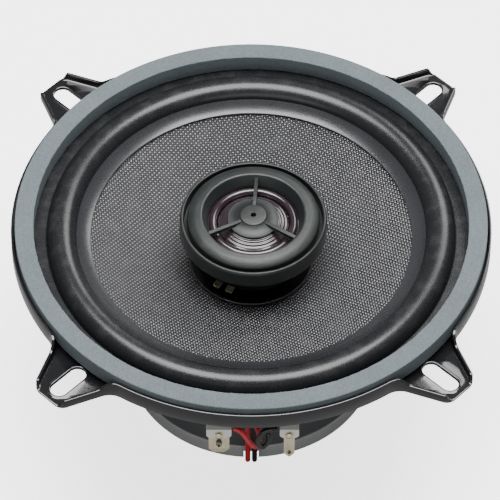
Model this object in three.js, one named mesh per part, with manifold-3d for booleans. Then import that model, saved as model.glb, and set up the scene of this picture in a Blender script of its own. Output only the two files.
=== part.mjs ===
// Two-way coaxial car loudspeaker with a woven cone, a dome tweeter on a post and a pressed steel basket.
// Millimetres. +Z is the speaker's axis and points out of its front. The origin is the centre of the
// rear plate's lower face, so the speaker stands on its motor. -Y is the side with the terminals.
import * as THREE from 'three';
import { mergeVertices } from 'three/addons/utils/BufferGeometryUtils.js';
import Module from 'manifold-3d';

const wasm = await Module();
wasm.setup();

// ---------------------------------------------------------------- driving dimensions
const FIT_GAP = 0.3; // between pieces that seat on each other
const ROUND = 40; // sides of a large turned piece
const MIDDLE_ROUND = 32;
const SMALL_ROUND = 24; // sides of a small turned piece

// motor
const rearPlateRadius = 35;
const rearPlateChamfer = 0.3;
const rearPlateThickness = 5;
const poleRadius = 12.2;
const poleProud = 0.6; // pole's height over the top plate
const magnetRadius = 35;
const magnetHoleClearance = 3.8; // magnet's hole round the pole
const magnetHeight = 15;
const topPlateRadius = 32.5;
const topPlateThickness = 5;
const magneticGap = 2.1; // radial width of the gap that the coil runs in
const magnetChamfer = 0.8;

// basket
const sheet = 1; // pressed steel
const rimRadius = 66.1;
const rimWall = 0.8; // upturned lip and the ears' walls
const rimBevel = 0.8; // step under the rim's outer edge
const rimOverlap = 0.4; // flange plate into the rim's wall
const basketDepth = 29.7; // seat on the top plate to the flange's upper face
const skirtRadius = 59.2;
const skirtDepth = 9.6;
const ledgeOuterRadius = 38;
const ledgeInnerRadius = 30.5;
const ledgeHeight = 8.3; // spider's ledge over the seat
const seatHoleClearance = 1.15; // hole in the seat round the coil
const lipHeight = 4.6; // rim's lip over the flange
const windowCount = 4;
const windowHalfAngle = 19; // degrees
const windowInnerRadius = 42;
const windowDrop = 6.6; // window's upper edge under the flange

// mounting ears
const earCount = 4;
const earTurn = 1; // ears' turn from the diagonals, degrees
const earReach = 12.7; // ears' tips beyond the rim
const earTipHalfWidth = 4.9;
const earRootHalfWidth = 11;
const earRootFillet = 3;
const earTipFillet = 1.5;
const earWallHeight = 2.4;
const slotWidth = 4.9;
const slotLength = 11.6;
const slotReach = 4.7; // middle of a slot beyond the rim

// cone, surround and gasket
const surroundThickness = 0.6;
const gasketClearance = 0.3; // gasket to the rim's lip
const gasketWidth = 5.2;
const gasketHeight = 5.2;
const skirtClearance = 2.65; // roll's outer edge inside the skirt's radius
const rollRadius = 4.3;
const bandWidth = 3.65; // glue band inside the roll
const bandRise = 1.3; // glue band's rise from its inner edge to the roll
const coneThickness = 0.7;
const coneSlope = 0.335;
const collarWidth = 4.1; // collar's edge beyond the cone's hole
const neckDrop = 2.8; // cone's drop from the collar's edge to the neck
const neckRingThickness = 0.6;

// woofer voice coil and spider
const formerWall = 0.35;
const formerClearance = 0.4; // former to the pole
const formerProud = 0.6; // former over the cone's neck
const coilWall = 0.6;
const coilHeight = 8;
const spiderThickness = 0.4;
const spiderWave = 0.9;
const spiderWaves = 4;
const spiderCollarWidth = 2.05; // flat collar round the former

// tweeter
const tweeterOffset = 0.6; // the tweeter's post stands this far to +X of the speaker's axis
const tweeterRingRadius = 20.3;
const tweeterTop = 2.9; // tweeter's highest edge over the gasket
const ringHeight = 6;
const lipWidth = 1.1;
const shadowGap = 1; // ring-shaped gap round the face
const openingFlare = 1.4; // face's opening beyond its throat
const suspensionWidth = 2.9; // dome's edge to the throat
const domeRise = 2.4;
const suspensionRollRadius = 1.1;
const domeTravel = 0.3; // either way along the axis
const domeThickness = 0.25;
const bladeCount = 3;
const bladeThickness = 1;
const bladeHeight = 1.4;
const bladeDrop = 0.8; // blades' upper edges under the face's highest edge
const bladeAngle = 86.5; // first blade, degrees from +X
const hubRadius = 3.5;
const hubSkirtRadius = 7;
const hubHole = 0.7;
const potRadius = 12.6;
const potWall = 1.7;
const potHeight = 8;
const potFloor = 1.5;
const tweeterGap = 1.7; // radial width of the gap that the dome's coil runs in
const tweeterPoleLedge = 0.3; // pole plate beyond the magnet
const tweeterMagnetHeight = 4;
const tweeterFormerWall = 0.2;
const tweeterCoilWall = 0.3;
const tweeterCoilHeight = 2.2;
const neckRadius = 9.5; // tweeter post and the neck of its housing
const neckFlare = 2.2; // start of the housing's flare under its floor, clear of the moving coil former
const tagAngles = { positive: -126, negative: -113 }; // degrees from +X
const tagReach = 5;
const tagLength = 2;
const tagWidth = 2.2;
const tagThickness = 0.5;
const tagDrop = 6.8; // tags' undersides under the ring's lower edge
const capacitorRadius = 3;
const capacitorHeight = 5.6;

// post through the pole, terminals and leads
const postBore = 3.2;
const postWall = 2;
const nutHeight = 2.6;
const nutRadius = 8.2;
const nutClearance = 0.7;
const leadDiameter = 1.5;
const leadGrooveHeight = 3;
const leadGrooveWidth = 4.2;
const tinselDiameter = 1;
const terminalThickness = 0.8;
const terminalInset = 0.8; // tabs' outer faces inside the skirt's edge
const insulatorProud = 1.4; // insulators beyond the skirt
const insulatorDepth = 11.1;
const insulatorHeight = 3.6;

// ---------------------------------------------------------------- sizes worked out from them
const magnetHoleRadius = poleRadius + magnetHoleClearance;
const rollCentreRadius = skirtRadius - skirtClearance - rollRadius;
const bandInnerRadius = rollCentreRadius - rollRadius - bandWidth;
const earTipRadius = rimRadius + earReach;
const slotRadius = rimRadius + slotReach;
const terminalFace = skirtRadius - terminalInset;
const insulatorReach = skirtRadius + insulatorProud;
const insulatorInner = insulatorReach - insulatorDepth;
const tweeterPoleRadius = potRadius - potWall - tweeterGap;
const tweeterMagnetRadius = tweeterPoleRadius - tweeterPoleLedge;
const domeRadius = tweeterPoleRadius + FIT_GAP + tweeterFormerWall;
const throatRadius = domeRadius + suspensionWidth;
const faceOpeningRadius = throatRadius + openingFlare;
const magnetBottom = rearPlateThickness + FIT_GAP;
const magnetTop = magnetBottom + magnetHeight;
const topPlateBottom = magnetTop + FIT_GAP;
const topPlateTop = topPlateBottom + topPlateThickness;
const poleTop = topPlateTop + poleProud;
const seat = topPlateTop + FIT_GAP;
const flangeTop = seat + basketDepth;
const flangeBottom = flangeTop - sheet;
const ledgeTop = seat + ledgeHeight;
const skirtBottom = flangeTop - skirtDepth;
const lipTop = flangeTop + lipHeight;
const surroundBottom = flangeTop + FIT_GAP;
const surroundTop = surroundBottom + surroundThickness;
const gasketBottom = surroundTop + FIT_GAP;
const gasketTop = gasketBottom + gasketHeight;
const gasketOuterRadius = rimRadius - rimWall - gasketClearance;
const gasketInnerRadius = gasketOuterRadius - gasketWidth;
const bandInnerTop = surroundTop - surroundThickness;
const bandOuterTop = bandInnerTop + bandRise;
const formerInner = poleRadius + formerClearance;
const formerOuter = formerInner + formerWall;
const coilInner = formerOuter + FIT_GAP;
const coilOuter = coilInner + coilWall;
const seatHoleRadius = coilOuter + seatHoleClearance;
const spiderCollarRadius = formerOuter + spiderCollarWidth;
const coilMiddle = (topPlateBottom + topPlateTop) / 2;
const neckHole = formerOuter + FIT_GAP + 0.05;
const collarRadius = neckHole + collarWidth;
const coneEdgeTop = bandInnerTop - surroundThickness - FIT_GAP;
const collarTop = coneEdgeTop - (bandInnerRadius - collarRadius) * coneSlope;
const neckTop = collarTop - neckDrop;
const faceTop = gasketTop + tweeterTop;
const ringTop = faceTop - 1.5;
const ringBottom = ringTop - ringHeight;
const ringFloor = ringTop - 3.1;
const domeBase = ringFloor + 0.5;
const potTop = ringFloor - 3.1;
const potBottom = potTop - potHeight;
const housingFloorTop = potBottom - FIT_GAP;
const housingFloorBottom = housingFloorTop - 1.5;
const tweeterMagnetBottom = potBottom + potFloor + FIT_GAP;
const tweeterMagnetTop = tweeterMagnetBottom + tweeterMagnetHeight;
const faceOuterRadius = tweeterRingRadius - lipWidth - shadowGap;
const postOuter = postBore + postWall;
const poleBore = postOuter + tweeterOffset + FIT_GAP;
const postFlange = poleTop + FIT_GAP;
const capacitorTop = housingFloorBottom - FIT_GAP;
const spigotTop = capacitorTop - capacitorHeight - 0.6;
const postShoulder = spigotTop - 2.2;
const nutBottom = leadGrooveHeight + 0.6;
const counterboreTop = nutBottom + nutHeight + FIT_GAP;
const counterboreRadius = nutRadius + tweeterOffset + nutClearance;
const postBottom = nutBottom - 0.4;
const insulatorBottom = skirtBottom - 2.7;
const insulatorTop = insulatorBottom + insulatorHeight;

// ---------------------------------------------------------------- materials
function finish(color, roughness, metalness) {
  return new THREE.MeshStandardMaterial({ color, roughness, metalness });
}

const paint = () => finish(0x0b0b0c, 0.3, 0.1);
const steel = () => finish(0x6f7274, 0.45, 0.8);
const ferrite = () => finish(0x3c3d3f, 0.7, 0.1);
const brass = () => finish(0xd8b35c, 0.3, 0.9);
const copper = () => finish(0xa9602f, 0.4, 0.9);
const rubber = () => finish(0x17181a, 0.55, 0);
const foam = () => finish(0x6f8086, 0.9, 0);
const weave = () => finish(0x6b6d70, 0.5, 0.1);
const sandedPlastic = () => finish(0x4a4f4d, 0.6, 0);
const blackPlastic = () => finish(0x121313, 0.5, 0);
const clearPlastic = () => finish(0xe6e4da, 0.4, 0);
const formerFilm = () => finish(0x141414, 0.4, 0.1);
const spiderCloth = () => finish(0xb8863b, 0.9, 0);
const domeFilm = () => finish(0x241d20, 0.25, 0.1);
const nickel = () => finish(0xb9bcc0, 0.25, 0.9);
const sleeve = () => finish(0x1c2f55, 0.4, 0);
const redInsulation = () => finish(0xb3121d, 0.4, 0);
const blackInsulation = () => finish(0x101010, 0.4, 0);

// ---------------------------------------------------------------- solids
// Leaves only positions, joins equal points and turns every face outwards.
function solid(geometry) {
  geometry.deleteAttribute('normal');
  geometry.deleteAttribute('uv');
  const merged = mergeVertices(geometry, 1e-4);
  const position = merged.attributes.position;
  const corners = [];
  let volume = 0;
  const a = new THREE.Vector3();
  const b = new THREE.Vector3();
  const c = new THREE.Vector3();
  for (let i = 0; i < merged.index.count; i += 3) {
    const [p, q, r] = [0, 1, 2].map((k) => merged.index.getX(i + k));
    if (p === q || q === r || r === p) continue;
    corners.push(p, q, r);
    a.fromBufferAttribute(position, p);
    b.fromBufferAttribute(position, q);
    c.fromBufferAttribute(position, r);
    volume += a.dot(b.cross(c));
  }
  if (volume < 0) corners.reverse();
  merged.setIndex(corners);
  return merged;
}

function toManifold(geometry) {
  const shape = solid(geometry);
  return new wasm.Manifold(new wasm.Mesh({
    numProp: 3,
    vertProperties: new Float32Array(shape.attributes.position.array),
    triVerts: new Uint32Array(shape.index.array),
  }));
}

function fromManifold(manifold) {
  const { vertProperties, triVerts } = manifold.getMesh();
  const geometry = new THREE.BufferGeometry();
  geometry.setAttribute('position', new THREE.BufferAttribute(new Float32Array(vertProperties), 3));
  geometry.setIndex(new THREE.BufferAttribute(new Uint32Array(triVerts), 1));
  return geometry;
}

function join(...geometries) {
  return fromManifold(geometries.map(toManifold).reduce((sum, next) => sum.add(next)));
}

function cut(geometry, ...tools) {
  const cutters = tools.map(toManifold);
  return fromManifold(cutters.reduce((left, tool) => left.subtract(tool), toManifold(geometry)));
}

// Turned piece. The profile is a closed outline of [radius, height] pairs.
function turned(profile, sides = ROUND) {
  const points = profile.map(([radius, height]) => new THREE.Vector2(radius, height));
  points.push(points[0].clone());
  return new THREE.LatheGeometry(points, sides).rotateX(Math.PI / 2);
}

function block(x0, x1, y0, y1, z0, z1) {
  const box = new THREE.BoxGeometry(x1 - x0, y1 - y0, z1 - z0);
  return box.translate((x0 + x1) / 2, (y0 + y1) / 2, (z0 + z1) / 2);
}

function extruded(shape, z0, z1, curveSegments = 5) {
  const settings = { depth: z1 - z0, bevelEnabled: false, curveSegments };
  return new THREE.ExtrudeGeometry(shape, settings).translate(0, 0, z0);
}

function arc(centreRadius, centreHeight, radius, from, to, steps) {
  return Array.from({ length: steps + 1 }, (_, i) => {
    const angle = THREE.MathUtils.degToRad(from + ((to - from) * i) / steps);
    return [centreRadius + radius * Math.cos(angle), centreHeight + radius * Math.sin(angle)];
  });
}

function wire(points, diameter, sides, steps) {
  const section = new THREE.Shape();
  for (let i = 0; i < sides; i += 1) {
    const angle = (2 * Math.PI * i) / sides;
    const [x, y] = [Math.cos(angle), Math.sin(angle)].map((value) => (value * diameter) / 2);
    if (i === 0) section.moveTo(x, y);
    else section.lineTo(x, y);
  }
  section.closePath();
  const corners = points.map(([x, y, z]) => new THREE.Vector3(x, y, z));
  const path = new THREE.CatmullRomCurve3(corners, false, 'centripetal');
  return new THREE.ExtrudeGeometry(section, { steps, extrudePath: path, curveSegments: 1 });
}

// ---------------------------------------------------------------- basket
const earAngles = Array.from({ length: earCount }, (_, ear) => (
  ((ear + 0.5) * 2 * Math.PI) / earCount + THREE.MathUtils.degToRad(earTurn)
));

// Plan outline of the flange with its ears. inset moves the rim and the ears' sides inwards,
// tipExtra moves the ears' tips outwards.
function flangeOutline(inset, tipExtra) {
  const radius = rimRadius - inset;
  const tip = earTipRadius + tipExtra;
  const rootAlong = Math.sqrt(rimRadius ** 2 - earRootHalfWidth ** 2);
  const side = new THREE.Vector2(earTipRadius - rootAlong, earTipHalfWidth - earRootHalfWidth).normalize();
  const inwards = new THREE.Vector2(side.y, -side.x);
  const onSide = new THREE.Vector2(rootAlong, earRootHalfWidth).addScaledVector(inwards, inset);
  const reach = (tip - onSide.x) / side.x;
  const corner = onSide.clone().addScaledVector(side, reach);
  const along = onSide.dot(side);
  const back = along - Math.sqrt(along ** 2 - onSide.lengthSq() + radius ** 2);
  const root = onSide.clone().addScaledVector(side, -back);
  const rootAngle = Math.atan2(root.y, root.x);
  const startAngle = rootAngle + earRootFillet / radius;
  const local = [
    [radius * Math.cos(startAngle), radius * Math.sin(startAngle)],
    [root.x, root.y],
    [root.x + side.x * earRootFillet, root.y + side.y * earRootFillet],
    [corner.x - side.x * earTipFillet, corner.y - side.y * earTipFillet],
    [corner.x, corner.y],
    [corner.x, corner.y - earTipFillet],
  ];
  const outline = new THREE.Shape();
  earAngles.forEach((angle, ear) => {
    const place = ([u, v]) => [
      u * Math.cos(angle) - v * Math.sin(angle),
      u * Math.sin(angle) + v * Math.cos(angle),
    ];
    const near = local.map(([u, v]) => place([u, -v]));
    const far = local.map(place);
    const previous = (ear === 0 ? earAngles.at(-1) - 2 * Math.PI : earAngles[ear - 1]) + startAngle;
    if (ear === 0) outline.moveTo(radius * Math.cos(previous), radius * Math.sin(previous));
    outline.absarc(0, 0, radius, previous, angle - startAngle, false);
    outline.quadraticCurveTo(...near[1], ...near[2]);
    outline.lineTo(...near[3]);
    outline.quadraticCurveTo(...near[4], ...near[5]);
    outline.lineTo(...far[5]);
    outline.quadraticCurveTo(...far[4], ...far[3]);
    outline.lineTo(...far[2]);
    outline.quadraticCurveTo(...far[1], ...far[0]);
  });
  return outline;
}

function basketBody() {
  const inner = skirtRadius - sheet;
  return turned([
    [seatHoleRadius, seat],
    [ledgeInnerRadius, seat],
    [ledgeInnerRadius + 0.6, ledgeTop - sheet],
    [ledgeOuterRadius + 0.3, ledgeTop - sheet],
    [skirtRadius - 0.8, skirtBottom - 1],
    [skirtRadius, skirtBottom],
    [skirtRadius, flangeBottom + 0.2],
    [skirtRadius + 1, flangeTop],
    [inner + 0.4, flangeTop],
    [inner, flangeTop - 0.6],
    [inner, skirtBottom + 0.3],
    [ledgeOuterRadius, ledgeTop],
    [ledgeInnerRadius - 0.6, ledgeTop],
    [ledgeInnerRadius - sheet, seat + sheet],
    [seatHoleRadius, seat + sheet],
  ]);
}

function windowCutter(index) {
  const middle = ((index + 0.5) * 2 * Math.PI) / windowCount;
  const half = THREE.MathUtils.degToRad(windowHalfAngle);
  const sector = new THREE.Shape();
  sector.absarc(0, 0, skirtRadius + 2, middle - half, middle + half, false);
  sector.absarc(0, 0, windowInnerRadius, middle + half, middle - half, true);
  sector.closePath();
  return extruded(sector, ledgeTop - 6, flangeTop - windowDrop, 3);
}

function slotCutter(angle) {
  const half = (slotLength - slotWidth) / 2;
  const slot = new THREE.Shape();
  slot.absarc(half, 0, slotWidth / 2, -Math.PI / 2, Math.PI / 2, false);
  slot.absarc(-half, 0, slotWidth / 2, Math.PI / 2, (3 * Math.PI) / 2, false);
  slot.closePath();
  const cutter = extruded(slot, flangeBottom - 1, lipTop + 1, 4);
  return cutter.translate(slotRadius, 0, 0).rotateZ(angle);
}

// Takes the rim's lip down to the lower walls along an ear.
function lipTrim(angle) {
  const wallTop = flangeTop + earWallHeight;
  const side = new THREE.Shape();
  side.moveTo(rimRadius + 0.1, lipTop + 1);
  side.lineTo(rimRadius + 0.1, lipTop);
  side.lineTo(rimRadius + 3, wallTop);
  side.lineTo(earTipRadius + 3, wallTop);
  side.lineTo(earTipRadius + 3, lipTop + 1);
  side.closePath();
  const width = 2 * earRootHalfWidth + 6;
  return extruded(side, -width / 2, width / 2).rotateX(Math.PI / 2).rotateZ(angle);
}

function terminalHole(centre, width) {
  const half = width / 2 + FIT_GAP;
  const [front, back] = [-skirtRadius - 3, -insulatorInner + 1];
  const [bottom, top] = [insulatorBottom - FIT_GAP, insulatorTop + FIT_GAP];
  return block(centre - half, centre + half, front, back, bottom, top);
}

function basket() {
  const plate = flangeOutline(rimBevel, 0);
  const hole = new THREE.Path();
  hole.absarc(0, 0, skirtRadius - 0.2, 0, 2 * Math.PI, true);
  plate.holes.push(hole);
  const flange = extruded(plate, flangeBottom, flangeTop);
  const edge = extruded(flangeOutline(0, 0), flangeBottom + rimBevel, lipTop);
  const inside = join(
    extruded(flangeOutline(rimWall, 0.6), flangeTop, lipTop + 1),
    extruded(flangeOutline(rimBevel + rimOverlap, 0.6), flangeBottom, flangeTop + 0.1),
  );
  const wall = cut(edge, inside);
  const trims = earAngles.map(lipTrim);
  const whole = join(basketBody(), flange, cut(wall, ...trims));
  const windows = Array.from({ length: windowCount }, (_, i) => windowCutter(i));
  const slots = earAngles.map(slotCutter);
  const holes = terminals.map(({ centre, insulatorWidth }) => terminalHole(centre, insulatorWidth));
  return cut(whole, ...windows, ...slots, ...holes);
}

// ---------------------------------------------------------------- motor
function yoke() {
  const body = turned([
    [poleBore, counterboreTop],
    [poleBore, poleTop],
    [poleRadius - 0.5, poleTop],
    [poleRadius, poleTop - 0.5],
    [poleRadius, rearPlateThickness],
    [rearPlateRadius - rearPlateChamfer, rearPlateThickness],
    [rearPlateRadius, rearPlateThickness - rearPlateChamfer],
    [rearPlateRadius, rearPlateChamfer],
    [rearPlateRadius - rearPlateChamfer, 0],
    [counterboreRadius, 0],
    [counterboreRadius, counterboreTop],
  ]);
  const half = leadGrooveWidth / 2;
  return cut(body, block(-half, half, -rearPlateRadius - 2, -nutRadius, -1, leadGrooveHeight));
}

function magnet() {
  return turned([
    [magnetHoleRadius, magnetBottom],
    [magnetRadius - magnetChamfer, magnetBottom],
    [magnetRadius, magnetBottom + magnetChamfer],
    [magnetRadius, magnetTop - magnetChamfer],
    [magnetRadius - magnetChamfer, magnetTop],
    [magnetHoleRadius, magnetTop],
  ]);
}

function topPlate() {
  const hole = poleRadius + magneticGap;
  return turned([
    [hole, topPlateBottom],
    [topPlateRadius, topPlateBottom],
    [topPlateRadius, topPlateTop],
    [hole, topPlateTop],
  ], MIDDLE_ROUND);
}

// ---------------------------------------------------------------- woofer's moving parts
function coneProfile() {
  const edgeRadius = rollCentreRadius - rollRadius - 0.35;
  const edgeTop = collarTop + (edgeRadius - collarRadius) * coneSlope;
  return [
    [edgeRadius, edgeTop],
    [collarRadius, collarTop],
    [neckHole, neckTop],
    [neckHole, neckTop - coneThickness],
    [collarRadius, collarTop - coneThickness],
    [edgeRadius, edgeTop - coneThickness],
  ];
}

function neckRing() {
  const lift = FIT_GAP;
  return turned([
    [neckHole, neckTop + lift],
    [collarRadius, collarTop + lift],
    [collarRadius - 0.3, collarTop + lift + neckRingThickness],
    [neckHole, neckTop + lift + neckRingThickness],
  ], MIDDLE_ROUND);
}

function surround() {
  const outer = gasketOuterRadius - 0.4;
  const centre = surroundTop - 0.3;
  const angleAt = (height, radius) => THREE.MathUtils.radToDeg(Math.asin((height - centre) / radius));
  const under = rollRadius - surroundThickness;
  const top = arc(rollCentreRadius, centre, rollRadius, angleAt(surroundTop, rollRadius),
    180 - angleAt(bandOuterTop, rollRadius), 7);
  const bottom = arc(rollCentreRadius, centre, under, 180 - angleAt(bandOuterTop - surroundThickness, under),
    angleAt(surroundBottom, under), 6);
  return turned([
    [outer, surroundTop],
    ...top,
    [bandInnerRadius, bandInnerTop],
    [bandInnerRadius, bandInnerTop - surroundThickness],
    ...bottom,
    [outer, surroundBottom],
  ]);
}

function ring(inner, outer, bottom, top, sides = MIDDLE_ROUND) {
  return turned([[inner, bottom], [outer, bottom], [outer, top], [inner, top]], sides);
}

function windingRing(inner, outer, middle, height) {
  return ring(inner, outer, middle - height / 2, middle + height / 2);
}

function spider() {
  const landing = ledgeTop + FIT_GAP;
  const inner = coilInner;
  const middle = landing + 1.3;
  const first = spiderCollarRadius;
  const step = (ledgeInnerRadius - first) / (2 * spiderWaves);
  const waves = Array.from({ length: 2 * spiderWaves - 1 }, (_, i) => [
    first + (i + 1) * step,
    middle + (i % 2 === 0 ? spiderWave : -spiderWave),
  ]);
  const upper = [
    [inner, middle],
    [first, middle],
    ...waves,
    [ledgeInnerRadius + 0.4, landing],
    [ledgeOuterRadius - 1, landing],
  ];
  const lower = upper.map(([radius, height]) => [radius, height + spiderThickness]).reverse();
  return turned([...upper, ...lower], MIDDLE_ROUND);
}

// ---------------------------------------------------------------- tweeter
function tweeterHousing() {
  const lipInner = tweeterRingRadius - lipWidth;
  const cavity = potRadius + FIT_GAP;
  const socket = postOuter + 1 + FIT_GAP;
  return turned([
    [tweeterRingRadius - 0.6, ringBottom],
    [tweeterRingRadius, ringBottom + 1],
    [tweeterRingRadius, ringTop - 0.9],
    [tweeterRingRadius - 0.4, ringTop - 0.2],
    [tweeterRingRadius - 0.9, ringTop],
    [lipInner, ringTop - 0.2],
    [lipInner, ringFloor],
    [cavity, ringFloor],
    [cavity, housingFloorTop],
    [4.2, housingFloorTop],
    [4.2, housingFloorBottom],
    [socket, housingFloorBottom],
    [socket, postShoulder + FIT_GAP],
    [neckRadius, postShoulder + FIT_GAP],
    [neckRadius, housingFloorBottom - neckFlare],
    [cavity + 1.4, housingFloorTop],
    [cavity + 2.4, ringBottom - 1.4],
    [cavity + 4, ringBottom],
  ]);
}

// Its underside slopes up to the hub, over the dome at its highest.
function blade(angle) {
  const inner = hubRadius - 0.8;
  const outer = faceOpeningRadius - 0.2;
  const top = faceTop - bladeDrop;
  const side = new THREE.Shape();
  side.moveTo(inner, top);
  side.lineTo(inner, domeBase + domeRise + domeTravel + 0.1);
  side.lineTo(hubSkirtRadius, top - bladeHeight);
  side.lineTo(outer, top - bladeHeight);
  side.lineTo(outer, top);
  side.closePath();
  return extruded(side, -bladeThickness / 2, bladeThickness / 2).rotateX(Math.PI / 2).rotateZ(angle);
}

function tweeterFace() {
  const bottom = ringFloor + FIT_GAP;
  const faceRing = turned([
    [faceOuterRadius, bottom],
    [faceOuterRadius, faceTop - 1.5],
    [faceOuterRadius - 0.7, faceTop - 0.8],
    [faceOpeningRadius + 2, faceTop - 0.25],
    [faceOpeningRadius + 0.5, faceTop],
    [faceOpeningRadius, faceTop - 0.15],
    [throatRadius, faceTop - 3],
    [throatRadius, bottom + 0.6],
    [throatRadius + 1.5, bottom + 0.6],
    [throatRadius + 1.5, bottom],
  ]);
  const hubTop = faceTop - 0.4;
  const hub = turned([
    [hubHole, hubTop],
    [hubRadius, hubTop],
    [hubRadius + 0.9, hubTop - 0.8],
    [hubRadius + 2.1, hubTop - 1.3],
    [hubSkirtRadius, hubTop - 1.5],
    [hubSkirtRadius, hubTop - 1.8],
    [hubRadius + 0.9, hubTop - 1],
    [hubHole, hubTop - 0.8],
  ], SMALL_ROUND);
  const blades = Array.from({ length: bladeCount }, (_, i) => (
    blade(THREE.MathUtils.degToRad(bladeAngle) + (2 * Math.PI * i) / bladeCount)
  ));
  return join(faceRing, hub, ...blades);
}

function domeArc(lift) {
  const radius = (domeRadius ** 2 + domeRise ** 2) / (2 * domeRise);
  const edge = THREE.MathUtils.radToDeg(Math.asin(domeRadius / radius));
  const centre = domeBase + domeRise - radius;
  return arc(0, centre, radius + lift, 90 - edge, 90, 5).map(([r, z]) => [Math.abs(r) < 1e-6 ? 0 : r, z]);
}

function tweeterDome() {
  return turned([...domeArc(0), ...domeArc(-domeThickness).reverse()], SMALL_ROUND);
}

function tweeterSuspension() {
  const inner = domeRadius + FIT_GAP;
  const centre = inner + 0.1 + suspensionRollRadius;
  const outer = throatRadius + 1.3;
  const base = domeBase - 0.2;
  const thickness = domeThickness;
  return turned([
    [outer, base + thickness],
    ...arc(centre, base + thickness, suspensionRollRadius, 10, 170, 4),
    [inner, base + thickness],
    [inner, base],
    ...arc(centre, base, suspensionRollRadius - thickness, 170, 10, 4),
    [outer, base],
  ], SMALL_ROUND);
}

function tweeterYoke() {
  const wall = potRadius - potWall;
  return turned([
    [0, potBottom],
    [potRadius, potBottom],
    [potRadius, potTop],
    [wall, potTop],
    [wall, potBottom + potFloor],
    [0, potBottom + potFloor],
  ], SMALL_ROUND);
}

function disc(radius, bottom, top) {
  return turned([[0, bottom], [radius, bottom], [radius, top], [0, top]], SMALL_ROUND);
}

function tweeterFormer() {
  const inner = tweeterPoleRadius + FIT_GAP;
  return ring(inner, inner + tweeterFormerWall, potTop - tweeterCoilHeight, domeBase - FIT_GAP, SMALL_ROUND);
}

function tweeterWinding() {
  const inner = tweeterPoleRadius + 2 * FIT_GAP + tweeterFormerWall;
  return ring(inner, inner + tweeterCoilWall, potTop - tweeterCoilHeight, potTop + 0.3, SMALL_ROUND);
}

function filterCapacitor() {
  return disc(capacitorRadius, capacitorTop - capacitorHeight, capacitorTop).translate(0, 2.8, 0);
}

function tweeterTag(angle) {
  const outer = potRadius + tagReach;
  const bottom = ringBottom - tagDrop;
  const tag = block(outer - tagLength, outer, -tagWidth / 2, tagWidth / 2, bottom, bottom + tagThickness);
  return tag.rotateZ(THREE.MathUtils.degToRad(angle));
}

function tweeterPost() {
  return turned([
    [postBore, postBottom],
    [postOuter, postBottom],
    [postOuter, postFlange],
    [poleRadius - 1.6, postFlange],
    [poleRadius - 1.6, postFlange + 1.8],
    [neckRadius, postFlange + 3],
    [neckRadius, postShoulder],
    [postOuter + 1, postShoulder],
    [postOuter + 1, spigotTop],
    [postBore, spigotTop],
  ], SMALL_ROUND);
}

function postNut() {
  const hexagon = new THREE.Shape();
  for (let i = 0; i < 6; i += 1) {
    const angle = (Math.PI * i) / 3;
    const [x, y] = [nutRadius * Math.cos(angle), nutRadius * Math.sin(angle)];
    if (i === 0) hexagon.moveTo(x, y);
    else hexagon.lineTo(x, y);
  }
  hexagon.closePath();
  const hole = new THREE.Path();
  hole.absarc(0, 0, postOuter + FIT_GAP, 0, 2 * Math.PI, true);
  hexagon.holes.push(hole);
  return extruded(hexagon, nutBottom, nutBottom + nutHeight, 12);
}

// ---------------------------------------------------------------- terminals and leads
const terminals = [
  {
    side: 'positive', centre: -8.7, insulatorWidth: 6.8,
    width: 5.6, length: 9, corner: 1.5, holeHalf: [0.85, 1.9], holeDrop: 4.9,
  },
  {
    side: 'negative', centre: 10.3, insulatorWidth: 5.2,
    width: 2.9, length: 11, corner: 1.4, holeHalf: [0.6, 0.9], holeDrop: 9,
  },
];

// Upright tab under its insulator, with chamfered lower corners and an oval hole.
function terminalTab({ centre, width, length, corner, holeHalf, holeDrop }) {
  const half = width / 2;
  const top = insulatorBottom - FIT_GAP;
  const tab = new THREE.Shape();
  tab.moveTo(-half, top);
  tab.lineTo(-half, top - length + corner);
  tab.lineTo(-half + corner * 0.9, top - length);
  tab.lineTo(half - corner * 0.9, top - length);
  tab.lineTo(half, top - length + corner);
  tab.lineTo(half, top);
  tab.closePath();
  const hole = new THREE.Path();
  hole.absellipse(0, top - holeDrop, holeHalf[0], holeHalf[1], 0, 2 * Math.PI, true);
  tab.holes.push(hole);
  const upright = extruded(tab, 0, terminalThickness, 6).rotateX(Math.PI / 2);
  return upright.translate(centre, -terminalFace + terminalThickness, 0);
}

function insulator({ centre, insulatorWidth }) {
  const half = insulatorWidth / 2;
  const shape = new THREE.Shape();
  shape.moveTo(-half, insulatorBottom + 0.8);
  shape.lineTo(-half + 0.8, insulatorBottom);
  shape.lineTo(half - 0.8, insulatorBottom);
  shape.lineTo(half, insulatorBottom + 0.8);
  shape.lineTo(half, insulatorTop);
  shape.lineTo(-half, insulatorTop);
  shape.closePath();
  const body = extruded(shape, 0, insulatorReach - insulatorInner).rotateX(Math.PI / 2);
  return body.translate(centre, -insulatorInner, 0);
}

function rivet({ centre }) {
  const head = new THREE.CylinderGeometry(0.8, 1.1, 0.7, 12).rotateX(Math.PI);
  return head.translate(centre, -insulatorReach - FIT_GAP - 0.35, insulatorBottom + insulatorHeight * 0.45);
}

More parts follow.
